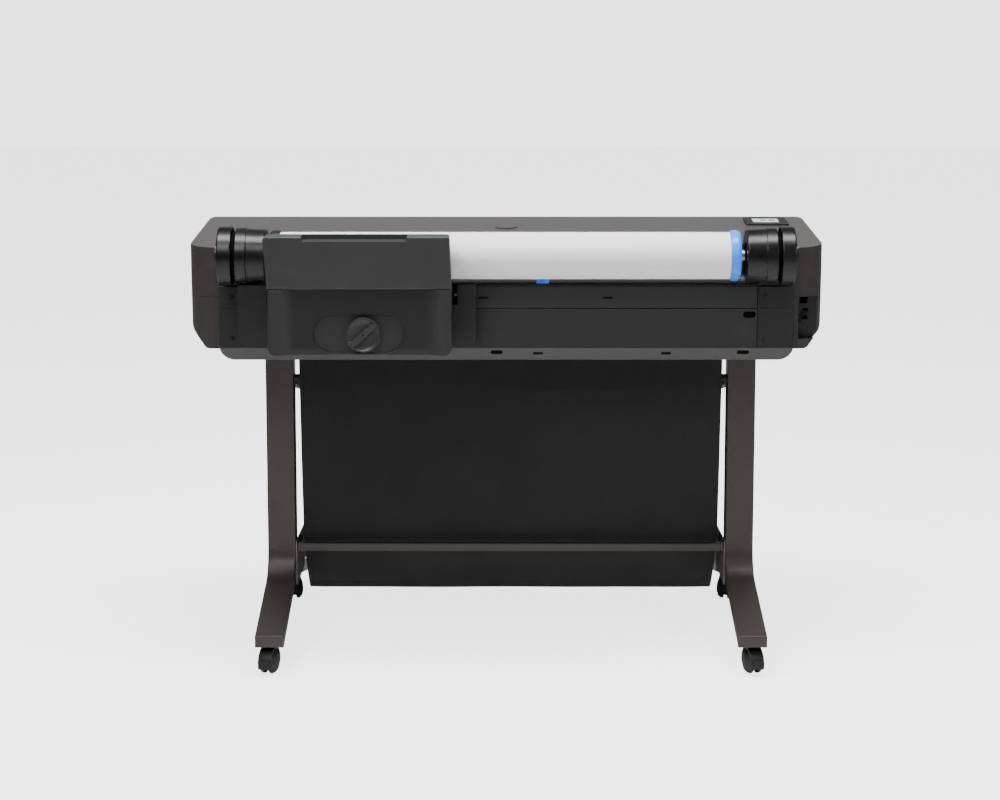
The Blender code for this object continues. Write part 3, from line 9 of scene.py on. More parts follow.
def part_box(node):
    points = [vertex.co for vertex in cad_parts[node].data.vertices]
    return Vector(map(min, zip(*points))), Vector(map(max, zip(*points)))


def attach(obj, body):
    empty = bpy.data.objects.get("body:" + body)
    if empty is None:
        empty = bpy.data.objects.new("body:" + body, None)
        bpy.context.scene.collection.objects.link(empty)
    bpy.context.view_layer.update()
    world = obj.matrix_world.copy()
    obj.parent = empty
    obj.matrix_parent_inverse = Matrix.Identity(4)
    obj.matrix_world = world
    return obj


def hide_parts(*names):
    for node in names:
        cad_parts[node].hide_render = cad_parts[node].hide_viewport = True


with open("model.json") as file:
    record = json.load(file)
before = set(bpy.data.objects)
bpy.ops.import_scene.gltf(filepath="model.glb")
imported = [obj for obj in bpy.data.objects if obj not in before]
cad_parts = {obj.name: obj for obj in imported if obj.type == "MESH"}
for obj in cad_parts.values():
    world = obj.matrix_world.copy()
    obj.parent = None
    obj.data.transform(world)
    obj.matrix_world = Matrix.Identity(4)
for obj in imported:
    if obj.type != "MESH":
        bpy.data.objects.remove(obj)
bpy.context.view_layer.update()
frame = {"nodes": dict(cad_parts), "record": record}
cad = frame["nodes"]
behaviour = frame["record"]["behaviour"]
bodyOf = {node: body for body, members in behaviour["bodies"].items() for node in members}


camera = {
    "place": (-0.0102, -4.604, 1.4235),
    "tiltDown": 7.904,       # degrees
    "lens": 78.08,
    "shiftAcross": -0.0014,
    "shiftUp": -0.12,
}


def makeCamera():
    data = bpy.data.cameras.new("camera")
    data.lens = camera["lens"]
    data.sensor_width = 36
    data.shift_x = camera["shiftAcross"]
    data.shift_y = camera["shiftUp"]
    data.clip_end = 60
    holder = bpy.data.objects.new("camera", data)
    holder.location = camera["place"]
    holder.rotation_euler = (math.radians(90 - camera["tiltDown"]), 0, 0)
    bpy.context.scene.collection.objects.link(holder)
    bpy.context.scene.camera = holder


lights = {
    # name: (place, aim, width, height, watts)
    "key": ((-1.6, -3.4, 3.8), (0, 0, 0.7), 2.2, 1.6, 100),
    "fill": ((3.0, -3.4, 2.6), (0, 0, 0.6), 1.8, 1.8, 35),
    "above": ((0, -0.6, 3.2), (0, 0, 0.8), 3.2, 1.0, 190),
    "behind": ((0, 3.2, 1.9), (0, 0, 0.9), 5.0, 2.0, 14),
}


studio = {
    "skyLight": 0.12,        # how strongly the backdrop lights the object
    "skySeen": 2.95,         # how bright it looks behind the object
    "floorSeen": 2.6,
    "floorSize": 14,
    "floorDrop": 0.0005,
}


def makeLights():
    for name, (place, aim, width, height, watts) in lights.items():
        data = bpy.data.lights.new(name, "AREA")
        data.shape = "RECTANGLE"
        data.size = width
        data.size_y = height
        data.energy = watts
        lamp = bpy.data.objects.new(name, data)
        lamp.location = place
        lamp.visible_camera = False
        lamp.rotation_mode = "QUATERNION"
        lamp.rotation_quaternion = (Vector(aim) - Vector(place)).to_track_quat("-Z", "Y")
        bpy.context.scene.collection.objects.link(lamp)
    world = bpy.data.worlds.new("studio")
    world.use_nodes = True
    sky = world.node_tree.nodes["Background"]
    sky.inputs["Color"].default_value = (1, 1, 1, 1)
    # the backdrop is paler than the light it gives
    seen = world.node_tree.nodes.new("ShaderNodeLightPath")
    paler = world.node_tree.nodes.new("ShaderNodeMapRange")
    paler.inputs["To Min"].default_value = studio["skyLight"]
    paler.inputs["To Max"].default_value = studio["skySeen"]
    world.node_tree.links.new(seen.outputs["Is Camera Ray"], paler.inputs["Value"])
    world.node_tree.links.new(paler.outputs["Result"], sky.inputs["Strength"])
    bpy.context.scene.world = world


def feed(tree, port, item):
    if isinstance(item, Value):
        tree.links.new(item.socket, port)
    else:
        port.default_value = item


class Value:
    # one socket; each operator adds the Math node that it needs
    def __init__(self, tree, socket):
        self.tree = tree
        self.socket = socket

    def math(self, operation, *others, clamp=False):
        node = self.tree.nodes.new("ShaderNodeMath")
        node.operation = operation
        node.use_clamp = clamp
        for port, item in zip(node.inputs, (self, *others)):
            feed(self.tree, port, item)
        return Value(self.tree, node.outputs[0])

    def __add__(self, other):
        return self.math("ADD", other)

    __radd__ = __add__

    def __mul__(self, other):
        return self.math("MULTIPLY", other)

    __rmul__ = __mul__

    def __sub__(self, other):
        return self.math("SUBTRACT", other)

    def __rsub__(self, other):
        return self.math("MULTIPLY_ADD", -1, other)

    def __truediv__(self, other):
        return self.math("DIVIDE", other)

    def __pow__(self, other):
        return self.math("POWER", other)

    def __gt__(self, other):
        return self.math("GREATER_THAN", other)

    def wave(self):
        return self.math("SINE")

    def size(self):
        return self.math("ABSOLUTE")

    def part(self):
        return self.math("FRACT")

    def step(self, start, stop):
        # 0 up to start, 1 from stop on
        return ((self - start) / (stop - start)).math("ADD", 0.0, clamp=True)


class Look:
    # one material and the nodes that give it its finish
    def __init__(self, name, colour, roughness, metallic=0.0, coat=0.0, space="Object"):
        self.material = bpy.data.materials.new(name)
        self.material.use_nodes = True
        self.material.diffuse_color = (*colour, 1)
        self.tree = self.material.node_tree
        self.shader = self.tree.nodes["Principled BSDF"]
        self.colour = colour
        self.put("Base Color", (*colour, 1))
        self.put("Roughness", roughness)
        self.put("Metallic", metallic)
        self.put("Coat Weight", coat)
        self.place = self.node("ShaderNodeTexCoord", {}, {}, space)

    def put(self, name, item):
        feed(self.tree, self.shader.inputs[name], item)

    def node(self, kind, settings, inputs, output=0):
        node = self.tree.nodes.new(kind)
        for key, item in settings.items():
            setattr(node, key, item)
        for key, item in inputs.items():
            feed(self.tree, node.inputs[key], item)
        return Value(self.tree, node.outputs[output])

    def axis(self, name):
        return self.node("ShaderNodeSeparateXYZ", {}, {0: self.place}, name)

    def stretched(self, scale):
        return self.node("ShaderNodeMapping", {}, {"Vector": self.place, "Scale": scale})

    def noise(self, scale, detail=2.0, place=None):
        return self.node("ShaderNodeTexNoise", {},
                         {"Vector": place or self.place, "Scale": scale, "Detail": detail})

    def cells(self, scale):
        return self.node("ShaderNodeTexVoronoi", {}, {"Vector": self.place, "Scale": scale}, "Distance")

    def mix(self, amount, first, second):
        # two colours, or a colour socket and a colour
        return self.node("ShaderNodeMix", {"data_type": "RGBA"},
                         {0: amount, 6: first if isinstance(first, Value) else (*first, 1),
                          7: second if isinstance(second, Value) else (*second, 1)}, 2)

    def tint(self, factor):
        return tuple(min(1.0, channel * factor) for channel in self.colour)

    def bump(self, height, distance):
        return self.node("ShaderNodeBump", {}, {"Height": height, "Distance": distance})


def mouldedPlastic(name, colour, roughness, grain=0.00006, dust=0.012, coat=0.0, sheen=0.36):
    look = Look(name, colour, roughness, coat=coat)
    look.shader.inputs["Specular IOR Level"].default_value = sheen
    cloud = look.noise(9, 3.0)
    broad = look.noise(38, 2.0)
    pores = look.noise(1100, 2.0)
    specks = look.cells(770)
    shade = look.mix(cloud.step(0.30, 0.72), look.tint(0.97), look.tint(1.03))
    shade = look.mix((broad - 0.5).size() * 0.4, shade, look.tint(1.10))
    # dust settles in patches
    film = look.noise(26, 5.0).step(0.56, 0.80) * dust
    look.put("Base Color", look.mix(film, shade, (0.34, 0.33, 0.31)))
    look.put("Roughness", roughness - 0.02 + 0.05 * cloud + 0.4 * film)
    look.put("Normal", look.bump(pores * 0.6 + specks * 0.4, grain))
    return look.material


feederFace = {
    # the painted shade and coarser texture of the hollow: where they begin and where they are full, measured
    # in from each edge
    "sides": (0.034, 0.052),
    "back": (0.010, 0.012),
    "bottom": (0.008, 0.014),
    "top": (0.002, 0.004),
    # how fully the painted shade darkens the hollow
    "strength": 0.96,
}


def feederPlastic(name, colour, hollowShade):
    # the feeder's face: painted shade across the hollow, a darker colour for the shadow in it, with a
    # coarser texture, fading out at its soft edges
    low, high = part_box("feeder_housing")
    look = Look(name, colour, 0.46)
    look.shader.inputs["Specular IOR Level"].default_value = 0.36
    fade = look.noise(90, 2.0) * 0.004
    aside = (look.axis("X") - (low.x + high.x) / 2).size() + fade
    half = (high.x - low.x) / 2
    begins, full = feederFace["sides"]
    inside = 1 - aside.step(half - full, half - begins)
    inside = inside * (1 - (look.axis("Y") - low.y).step(*feederFace["back"]))
    inside = inside * (look.axis("Z") - low.z).step(*feederFace["bottom"])
    begins, full = feederFace["top"]
    inside = inside * (1 - (look.axis("Z") - high.z).step(-full, -begins))
    cloud = look.noise(9, 3.0)
    shade = look.mix(cloud.step(0.30, 0.72), look.tint(0.97), look.tint(1.03))
    # the hollow's darker colour is painted shade
    look.put("Base Color", look.mix(inside * feederFace["strength"], shade, hollowShade))
    look.put("Roughness", 0.44 + 0.05 * cloud + 0.08 * inside)
    look.put("Normal", look.bump(look.noise(1100, 2.0) * 0.6 + look.cells(770) * 0.4, 0.00006))
    return look.material


def powderCoat(name, colour, roughness, metallic=0.25):
    look = Look(name, colour, roughness, metallic)
    cloud = look.noise(7, 3.0)
    peel = look.noise(620, 1.5)
    flakes = look.noise(3600, 0.0)
    shade = look.mix(cloud.step(0.3, 0.7), look.tint(0.95), look.tint(1.05))
    shade = look.mix(flakes.step(0.66, 0.74) * 0.35, shade, look.tint(2.2))
    look.put("Base Color", shade)
    look.put("Roughness", roughness - 0.05 + 0.12 * cloud)
    look.put("Normal", look.bump(peel, 0.00009))
    return look.material


def glossPlastic(name, colour, roughness):
    look = Look(name, colour, roughness)
    look.shader.inputs["Specular IOR Level"].default_value = 0.38
    smear = look.noise(14, 4.0, look.stretched((1, 3.2, 2.4)))
    orange = look.noise(190, 1.0)
    specks = look.cells(260).step(0.10, 0.02)
    shade = look.mix(smear.step(0.45, 0.75) * 0.5, look.tint(0.8), look.tint(1.9))
    look.put("Base Color", look.mix(specks * 0.10, shade, (0.25, 0.25, 0.24)))
    look.put("Roughness", roughness + 0.10 * smear.step(0.42, 0.72) + specks * 0.2)
    look.put("Normal", look.bump(orange, 0.000002))
    return look.material


def barePaper(name, colour):
    look = Look(name, colour, 0.62)
    fibre = look.noise(900, 3.0, look.stretched((0.25, 1, 1)))
    pulp = look.noise(60, 3.0)
    # cut ends show the turns of the winding as fine rings
    x = look.axis("X") - record["rollMiddle"]
    ends = x.size() > record["rollHalf"] - 0.0004
    y = look.axis("Y") - record["rollY"]
    z = look.axis("Z") - record["rollZ"]
    radius = (y * y + z * z) ** 0.5
    turn = (radius * 620 + look.noise(24, 1.0) * 1.5).part()
    rings = (turn - 0.5).size().step(0.32, 0.48) * ends
    shade = look.mix(pulp.step(0.35, 0.65), look.tint(0.985), look.tint(1.0))
    shade = look.mix(rings * 0.55, shade, (0.42, 0.41, 0.40))
    look.put("Base Color", shade)
    look.put("Roughness", 0.56 + 0.10 * fibre)
    look.put("Normal", look.bump(fibre * 0.3 + turn * ends, 0.00008))
    return look.material


def woundCard(name, colour):
    look = Look(name, colour, 0.85)
    y = look.axis("Y") - record["rollY"]
    z = look.axis("Z") - record["rollZ"]
    spiral = ((look.axis("X") * 14 + y.math("ARCTAN2", z) / (2 * math.pi)).part() - 0.5).size()
    fibre = look.noise(500, 4.0)
    shade = look.mix(fibre.step(0.3, 0.7), look.tint(0.85), look.tint(1.15))
    look.put("Base Color", look.mix(spiral.step(0.47, 0.495), shade, look.tint(0.45)))
    look.put("Roughness", 0.80 + 0.1 * fibre)
    look.put("Normal", look.bump(fibre + spiral.step(0.47, 0.49), 0.00015))
    return look.material


def platedSteel(name, colour, roughness):
    # drawn along the length of the machine
    look = Look(name, colour, roughness, 1.0)
    lines = look.noise(40, 3.0, look.stretched((1, 60, 60)))
    cloud = look.noise(30, 3.0)
    look.put("Base Color", look.mix(cloud.step(0.3, 0.7), look.tint(0.82), look.tint(1.05)))
    look.put("Roughness", roughness - 0.06 + 0.16 * lines)
    look.put("Normal", look.bump(lines, 0.00003))
    return look.material


def mouldedRubber(name, colour):
    look = Look(name, colour, 0.78)
    grain = look.noise(800, 3.0)
    scuff = look.noise(70, 5.0).step(0.55, 0.75)
    low = 1 - look.axis("Z").step(0.0, 0.02)
    shade = look.mix(scuff * 0.30, look.tint(0.9), (0.10, 0.098, 0.094))
    look.put("Base Color", look.mix(low * scuff * 0.5, shade, (0.17, 0.165, 0.155)))
    look.put("Roughness", 0.70 + 0.16 * scuff)
    look.put("Normal", look.bump(grain, 0.00012))
    return look.material


def wovenFabric(name, colour):
    # thread over thread from the cloth's own map, whose unit is a metre of cloth
    look = Look(name, colour, 0.92, space="UV")
    threads = 1250
    u = look.axis("X") * threads
    v = look.axis("Y") * threads
    across = (u * math.pi).wave().size()
    down = (v * math.pi).wave().size()
    turn = ((u.math("FLOOR") + v.math("FLOOR")) * 0.5).part() > 0.25
    thread = across * turn + down * (1 - turn)
    lint = look.noise(2400, 2.0).step(0.66, 0.74)
    cloud = look.noise(6, 4.0)
    streak = look.noise(4, 4.0, look.stretched((70, 2.2, 1)))
    shade = look.mix(cloud.step(0.3, 0.7), look.tint(0.82), look.tint(1.20))
    shade = look.mix(streak.step(0.35, 0.7) * 0.35, shade, look.tint(1.5))
    shade = look.mix((1 - thread) * 0.55, shade, look.tint(0.35))
    look.put("Base Color", look.mix(lint * 0.25, shade, (0.16, 0.16, 0.165)))
    look.put("Roughness", 0.84 + 0.12 * cloud)
    look.put("Normal", look.bump(thread * 0.8 + streak * 0.2, 0.00022))
    look.shader.inputs["Sheen Weight"].default_value = 0.12
    look.shader.inputs["Sheen Roughness"].default_value = 0.5
    look.shader.inputs["Specular IOR Level"].default_value = 0.25
    return look.material


rollLow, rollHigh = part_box("paper_roll")
record = {
    "rollMiddle": (rollLow.x + rollHigh.x) / 2,
    "rollHalf": (rollHigh.x - rollLow.x) / 2,
    "rollY": (rollLow.y + rollHigh.y) / 2,
    "rollZ": (rollLow.z + rollHigh.z) / 2,
}

finishes = {
    "stand": powderCoat("stand paint", (0.042, 0.032, 0.030), 0.42),
    "top": mouldedPlastic("top plastic", (0.034, 0.029, 0.028), 0.32, grain=0.00003, dust=0.02),
    "shell": mouldedPlastic("shell plastic", (0.019, 0.019, 0.0195), 0.46),
    # paler than the shell plastic: painted reflection of the pale floor, which the sloping band faces
    "band": mouldedPlastic("band plastic", (0.052, 0.051, 0.051), 0.48),
    "cover": mouldedPlastic("tray cover plastic", (0.028, 0.028, 0.0285), 0.42, grain=0.00003),
    # the second colour is the painted shade of the feeder's hollow
    "feeder": feederPlastic("feeder plastic", (0.019, 0.019, 0.0195), (0.0062, 0.0062, 0.0066)),
    "knob": mouldedPlastic("knob plastic", (0.030, 0.030, 0.031), 0.34, grain=0.00003),
    # near black: painted shade for the drum grooves, the knob's pin hole, the latch windows and the slots
    "paintedShade": mouldedPlastic("black painted shade", (0.0015, 0.0015, 0.0015), 0.7, dust=0.0, sheen=0.04),
    "mounts": mouldedPlastic("mount plastic", (0.012, 0.012, 0.0125), 0.42),
    "inner": mouldedPlastic("inner plastic", (0.007, 0.007, 0.0075), 0.55),
    "gloss": glossPlastic("drum gloss", (0.0035, 0.0035, 0.0042), 0.27),
    "blue": mouldedPlastic("blue plastic", (0.030, 0.250, 0.950), 0.28, grain=0.00002, dust=0.02, coat=0.2),
    "paper": barePaper("roll paper", (0.86, 0.86, 0.885)),
    "card": woundCard("core card", (0.40, 0.29, 0.19)),
    "steel": platedSteel("plated steel", (0.52, 0.52, 0.53), 0.30),
    "darkSteel": platedSteel("blackened steel", (0.060, 0.060, 0.062), 0.38),
    "plate": powderCoat("brace plate finish", (0.13, 0.115, 0.125), 0.42, 0.5),
    "rubber": mouldedRubber("wheel rubber", (0.016, 0.016, 0.017)),
    "fabric": wovenFabric("bin weave", (0.0165, 0.0165, 0.0170)),
}

# the four ink cases, one colour each
inks = ((0.018, 0.018, 0.018), (0.010, 0.290, 0.600), (0.520, 0.020, 0.210), (0.760, 0.600, 0.030))

ends = ("left_rear", "left_front", "right_rear", "right_front")

wears = {
    # finish: the CAD nodes that wear it
    "stand": ["cross_brace", *("leg_" + end for end in ends)],
    "top": ["main_cover", "end_cover_left", "end_cover_right", "side_panel_left", "side_panel_right"],
    "shell": ["rear_panel_lower", "rear_panel_upper", "output_deck", "ink_door"],
    "feeder": ["feeder_housing"],
    "band": ["base_pan"],
    "cover": ["tray_cover"],
    "mounts": ["roll_mount_left", "roll_mount_right", "feeder_bracket_left", "feeder_bracket_right",
               "port_plate"],
    "inner": ["roll_trough", "carriage", "service_station", "ink_bay", "power_inlet", "hub_left",
              "lock_knob", "brace_clip_left", "brace_clip_right", "bin_rod_rear", "bin_frame_front",
              "touch_panel", *("caster_hood_" + end for end in ends)],
    "gloss": ["drum_left", "drum_right", "power_button"],
    "blue": ["hub_right", "width_tab"],
    "paper": ["paper_roll"],
    "card": ["roll_core"],
    "steel": ["spindle", "carriage_frame"],
    "plate": ["brace_plate_left", "brace_plate_right"],
    "rubber": ["feed_roller", "pick_roller", *("caster_wheels_" + end for end in ends)],
    "fabric": ["bin_fabric"],
}


def dress(piece, material):
    piece.data.materials.clear()
    piece.data.materials.append(material)


for finish, names in wears.items():
    for name in names:
        dress(cad[name], finishes[finish])
for number, colour in enumerate(inks, 1):
    dress(cad[f"cartridge_{number}"], mouldedPlastic(f"ink case {number}", colour, 0.35))


def emptyPiece(name, mesh, material=None):
    piece = bpy.data.objects.new(name, mesh)
    bpy.context.scene.collection.objects.link(piece)
    if material:
        dress(piece, material)
    return piece


def smoothTo(mesh, angle):
    mesh.shade_smooth()
    mesh.set_sharp_from_angle(angle=math.radians(angle))


def meshOf(form, name):
    mesh = bpy.data.meshes.new(name)
    form.to_mesh(mesh)
    form.free()
    return mesh


def joinRings(form, rings):
    for one, two in zip(rings, rings[1:]):
        for i in range(len(one)):
            j = (i + 1) % len(one)
            form.faces.new((one[i], one[j], two[j], two[i]))


def thickened(piece, thickness, angle=35):
    wall = piece.modifiers.new("wall", "SOLIDIFY")
    wall.thickness = thickness
    wall.offset = 0
    return settled(piece, angle)


def settled(piece, angle=35, shade=True):
    # the modifiers made part of the mesh, and the shading smooth up to the angle
    graph = bpy.context.evaluated_depsgraph_get()
    mesh = bpy.data.meshes.new_from_object(piece.evaluated_get(graph), depsgraph=graph)
    piece.modifiers.clear()
    old = piece.data
    piece.data = mesh
    bpy.data.meshes.remove(old)
    if shade:
        smoothTo(mesh, angle)
    return piece


easing = {
    "width": 0.0006,
    "segments": 2,
    "sharp": 28,             # degrees from which an edge is eased
    "flat": 0.6,             # degrees below which two triangles are one face
    "weld": 0.000004,
    "other": {"cartridge_1": 0.0004, "cross_brace": 0.0012, "tray_cover": 0.0010,
              "feeder_housing": 0.0010, "base_pan": 0.0010, **{"leg_" + end: 0.0018 for end in ends}},
}


def eased(node, cutter=None):
    # a copy of a CAD node with its loose triangles joined and its edges eased
    form = bmesh.new()
    form.from_mesh(cad[node].data)
    bmesh.ops.remove_doubles(form, verts=form.verts, dist=easing["weld"])
    flat = math.radians(easing["flat"])
    bmesh.ops.dissolve_limit(form, angle_limit=flat, verts=form.verts, edges=form.edges)
    mesh = meshOf(form, node + "_eased")
    smoothTo(mesh, easing["sharp"])
    piece = emptyPiece(node + "_eased", mesh, cad[node].data.materials[0])
    if cutter:
        carve = piece.modifiers.new("carve", "BOOLEAN")
        carve.operation = "DIFFERENCE"
        carve.solver = "EXACT"
        carve.object = cutter
    bevel = piece.modifiers.new("edges", "BEVEL")
    bevel.width = easing["other"].get(node, easing["width"])
    bevel.segments = easing["segments"]
    bevel.limit_method = "ANGLE"
    bevel.angle_limit = math.radians(easing["sharp"])
    bevel.use_clamp_overlap = True
    # broad flat faces set the shading where they meet narrow ones
    weigh = piece.modifiers.new("normals", "WEIGHTED_NORMAL")
    weigh.keep_sharp = True
    weigh.weight = 90
    settled(piece, shade=False)
    if cutter:
        bpy.data.objects.remove(cutter)
    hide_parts(node)
    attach(piece, bodyOf[node])
    return piece


def lathe(name, profile, place, axis, sides, material):
    # a profile of (radius, distance along the axis), turned round it
    form = bmesh.new()
    turnOf = {"X": Matrix.Rotation(math.pi / 2, 4, "Y"), "Y": Matrix.Rotation(-math.pi / 2, 4, "X")}[axis]
    rings = []
    # long stretches get a ring near each end, so that eased corners shade only themselves
    held = [profile[0]]
    for (radius, along), (nextRadius, nextAlong) in zip(profile, profile[1:]):
        length = math.dist((radius, along), (nextRadius, nextAlong))
        if length > 0.0025:
            for t in (0.0004 / length, 1 - 0.0004 / length):
                held.append((radius + (nextRadius - radius) * t, along + (nextAlong - along) * t))
        held.append((nextRadius, nextAlong))
    for radius, along in held:
        if radius == 0:
            rings.append([form.verts.new((0, 0, along))])
            continue
        rings.append([form.verts.new((radius * math.cos(2 * math.pi * i / sides),
                                      radius * math.sin(2 * math.pi * i / sides), along))
                      for i in range(sides)])
    for low, high in zip(rings, rings[1:]):
        for i in range(sides):
            j = (i + 1) % sides
            corners = [low[i % len(low)], low[j % len(low)], high[j % len(high)], high[i % len(high)]]
            corners = list(dict.fromkeys(corners))
            if len(corners) > 2:
                form.faces.new(corners)
    bmesh.ops.remove_doubles(form, verts=form.verts, dist=0.0000001)
    bmesh.ops.recalc_face_normals(form, faces=form.faces)
    form.transform(Matrix.Translation(place) @ turnOf)
    mesh = meshOf(form, name)
    piece = emptyPiece(name, mesh, material)
    smoothTo(mesh, 35)
    return piece


ownPieces = ("bin_fabric", "paper_roll", "drum_left", "drum_right", "lock_knob")

hollow = {
    "sides": 0.038,      # width of the raised strip left at each side of the feeder's face
    "above": 0.0100,
    "below": 0.0090,
    "slope": 0.0150,     # width of the soft ramp down into the hollow
    "depth": 0.0036,
    "outside": 0.0010,   # how far the cutter stands out on each side of its own edge
}


def hollowCutter(low, high):
    # a flat-topped wedge that sinks the middle of the feeder's face
    form = bmesh.new()
    loops = []
    outside = hollow["outside"]
    for inset, y in ((-outside, low.y - outside * hollow["depth"] / hollow["slope"]),
                     (hollow["slope"], low.y + hollow["depth"])):
        left, right = low.x + hollow["sides"] + inset, high.x - hollow["sides"] - inset
        bottom, top = low.z + hollow["below"] + inset * 0.3, high.z - hollow["above"] - inset * 0.5
        corners = ((left, bottom), (right, bottom), (right, top), (left, top))
        loops.append([form.verts.new((x, y, z)) for x, z in corners])
    joinRings(form, loops)
    form.faces.new(loops[0][::-1])
    form.faces.new(loops[1])
    bmesh.ops.recalc_face_normals(form, faces=form.faces)
    return emptyPiece("hollow", meshOf(form, "hollow"))


for name in sorted(cad):
    if name == "feeder_housing":
        eased(name, hollowCutter(*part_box(name)))
    elif name not in ownPieces:
        eased(name)
print("CAD pieces eased")


drum = {
    "sides": 128,
    "flange": 0.0600,        # radius next to the end cover
    "flangeWidth": 0.0280,
    "grooveRadius": 0.0490,
    "grooveWidth": 0.0080,
    "barrel": 0.0575,
    "barrelWidth": 0.0220,
    "collar": 0.0560,
    "mouth": 0.0270,
    "stub": 0.0062,          # how far the bearing stub stands out of the flange
    "length": 0.0980,
    "lip": 0.0015,           # how far the gloss turns down into the groove
}


def drumProfile(length):
    flange, barrel, collar = drum["flange"], drum["barrel"], drum["collar"]
    grooveHigh = length - drum["flangeWidth"]
    grooveLow = grooveHigh - drum["grooveWidth"]
    step = grooveLow - drum["barrelWidth"]
    return [
        (0, 0.0032), (drum["mouth"], 0.0032), (drum["mouth"] + 0.0020, 0.0006),
        (collar - 0.0048, 0.0000), (collar - 0.0030, 0.0008), (collar - 0.0018, 0.0030),
        (collar - 0.0012, 0.0200), (collar - 0.0004, step - 0.0030), (collar, step - 0.0008),
        (barrel - 0.0004, step), (barrel, step + 0.0008), (barrel, grooveLow - 0.0014),
        (barrel - 0.0006, grooveLow - 0.0004), (barrel - 0.0020, grooveLow),
        (drum["grooveRadius"], grooveLow + 0.0004), (drum["grooveRadius"], grooveHigh - 0.0004),
        (flange - 0.0024, grooveHigh), (flange - 0.0008, grooveHigh + 0.0006), (flange, grooveHigh + 0.0020),
        (flange, length - 0.0030), (flange - 0.0008, length - 0.0010), (flange - 0.0024, length),
        (0.0285, length), (0.0280, length + drum["stub"]), (0, length + drum["stub"]),
    ]


def makeDrum(side, name):
    low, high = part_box(name)
    start = high.x if side < 0 else low.x
    length = drum["length"]
    place = (start, (low.y + high.y) / 2, record["rollZ"])
    profile = [(radius, side * along) for radius, along in drumProfile(length)]
    piece = lathe("glossy_" + name, profile, place, "X", drum["sides"], finishes["gloss"])
    # the groove is painted matt black: painted shade for the shadow in it
    piece.data.materials.append(finishes["paintedShade"])
    grooveHigh = length - drum["flangeWidth"]
    for face in piece.data.polygons:
        away = math.hypot(face.center.y - place[1], face.center.z - place[2])
        inGroove = grooveHigh - drum["grooveWidth"] < side * (face.center.x - start) < grooveHigh
        if inGroove and away < drum["barrel"] - drum["lip"]:
            face.material_index = 1
    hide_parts(name)
    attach(piece, bodyOf[name])


makeDrum(-1, "drum_left")
makeDrum(1, "drum_right")
print("drums turned")


roll = {
    "sides": 160,
    "edge": 0.0006,
    "bore": 0.0290,
    "crown": 0.00015,
    "taper": 0.06,           # length at each end over which the crown rises
    "endStart": 196,         # degrees round the roll where the loose end of the sheet begins
    "endStep": 2.2,
    "endRows": 25,
    "endGap": 0.0001,
    "endLift": 0.0004,
    "sheet": 0.00018,
}


def makeRoll():
    half, outer = record["rollHalf"], (rollHigh.z - rollLow.z) / 2
    bore, edge = roll["bore"], roll["edge"]
    profile = [(bore, -half), (outer - 2 * edge, -half), (outer - edge, -half + 0.0002),
               (outer - roll["crown"], -half + edge)]
    profile += [(outer, -half + roll["taper"]), (outer, half - roll["taper"])]
    profile += [(radius, -along) for radius, along in profile[3::-1]]
    profile.append(profile[0])
    place = (record["rollMiddle"], record["rollY"], record["rollZ"])
    piece = lathe("wound_paper", profile, place, "X", roll["sides"], finishes["paper"])
    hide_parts("paper_roll")
    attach(piece, bodyOf["paper_roll"])
    # the loose end of the sheet, one layer thick, held flat on the roll
    form = bmesh.new()
    rows = []
    for step in range(roll["endRows"]):
        angle = math.radians(roll["endStart"] + step * roll["endStep"])
        lift = outer + roll["endGap"] + roll["endLift"] * (step / (roll["endRows"] - 1)) ** 2
        rows.append([form.verts.new((place[0] + side * (half - 0.0002), place[1] + lift * math.cos(angle),
                                     place[2] + lift * math.sin(angle))) for side in (-1, 1)])
    for one, two in zip(rows, rows[1:]):
        form.faces.new((one[0], one[1], two[1], two[0]))
    bmesh.ops.recalc_face_normals(form, faces=form.faces)
    end = emptyPiece("sheet_end", meshOf(form, "sheet_end"), finishes["paper"])
    thickened(end, roll["sheet"])
    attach(end, bodyOf["paper_roll"])


makeRoll()
print("paper roll wound")


hammock = {
    # the cloth's line from the rear rod, down behind the brace and up to the front rod, as (y, z)
    "top": (-0.0123, 0.630),
    "bends": [(-0.0123, 0.552), (-0.0063, 0.450), (0.0037, 0.330), (0.0230, 0.214), (0.0850, 0.128),
              (0.1500, 0.068), (0.1760, 0.0618), (0.2050, 0.072), (0.2520, 0.150), (0.2830, 0.300),
              (0.3018, 0.480)],
    "front": (0.3018, 0.518),
    "steps": 4,             # points from bend to bend
    "width": 0.910,
    "across": 120,          # faces across the cloth
    "along": 170,           # faces along the line
    "wall": 0.0009,
    "ripple": 0.0022,       # how far the cloth waves between its rods
    # each wave: turns across, turns down, phase, share of the ripple
    "waves": [(11.0, 0.0, 1.3, 0.45), (23.0, 3.1, 0.0, 0.30), (5.0, -6.0, 2.0, 0.55)],
    "edgeRipple": 0.0016,
    "edgeReach": 0.035,     # how far in the edge's own waves reach, of the half width
    "edgeWaves": 31.0,
    "narrowing": 0.0035,    # how far each side draws in at mid height
    "pocket": 0.0790,       # height of the folded pocket round the rear rod
    "pocketRows": 14,
    "seams": (0.0035, 0.0085),   # the pocket's two seams, up from its lower edge
    "hem": 0.0120,
    "stitchPitch": 0.0042,
    "stitchLength": 0.0029,
    "thread": 0.00034,
}


def clothLine():
    # a smooth curve through the bends, with a straight run at each end
    bends = hammock["bends"]
    ends = [bends[0], *bends, bends[-1]]
    line = [hammock["top"]]
    for before, start, stop, after in zip(ends, ends[1:], ends[2:], ends[3:]):
        for step in range(hammock["steps"]):
            t = step / hammock["steps"]
            line.append(tuple(
                0.5 * (2 * b + (c - a) * t + (2 * a - 5 * b + 4 * c - d) * t ** 2
                       + (3 * b - a - 3 * c + d) * t ** 3)
                for a, b, c, d in zip(before, start, stop, after)))
    return line + [bends[-1], hammock["front"]]


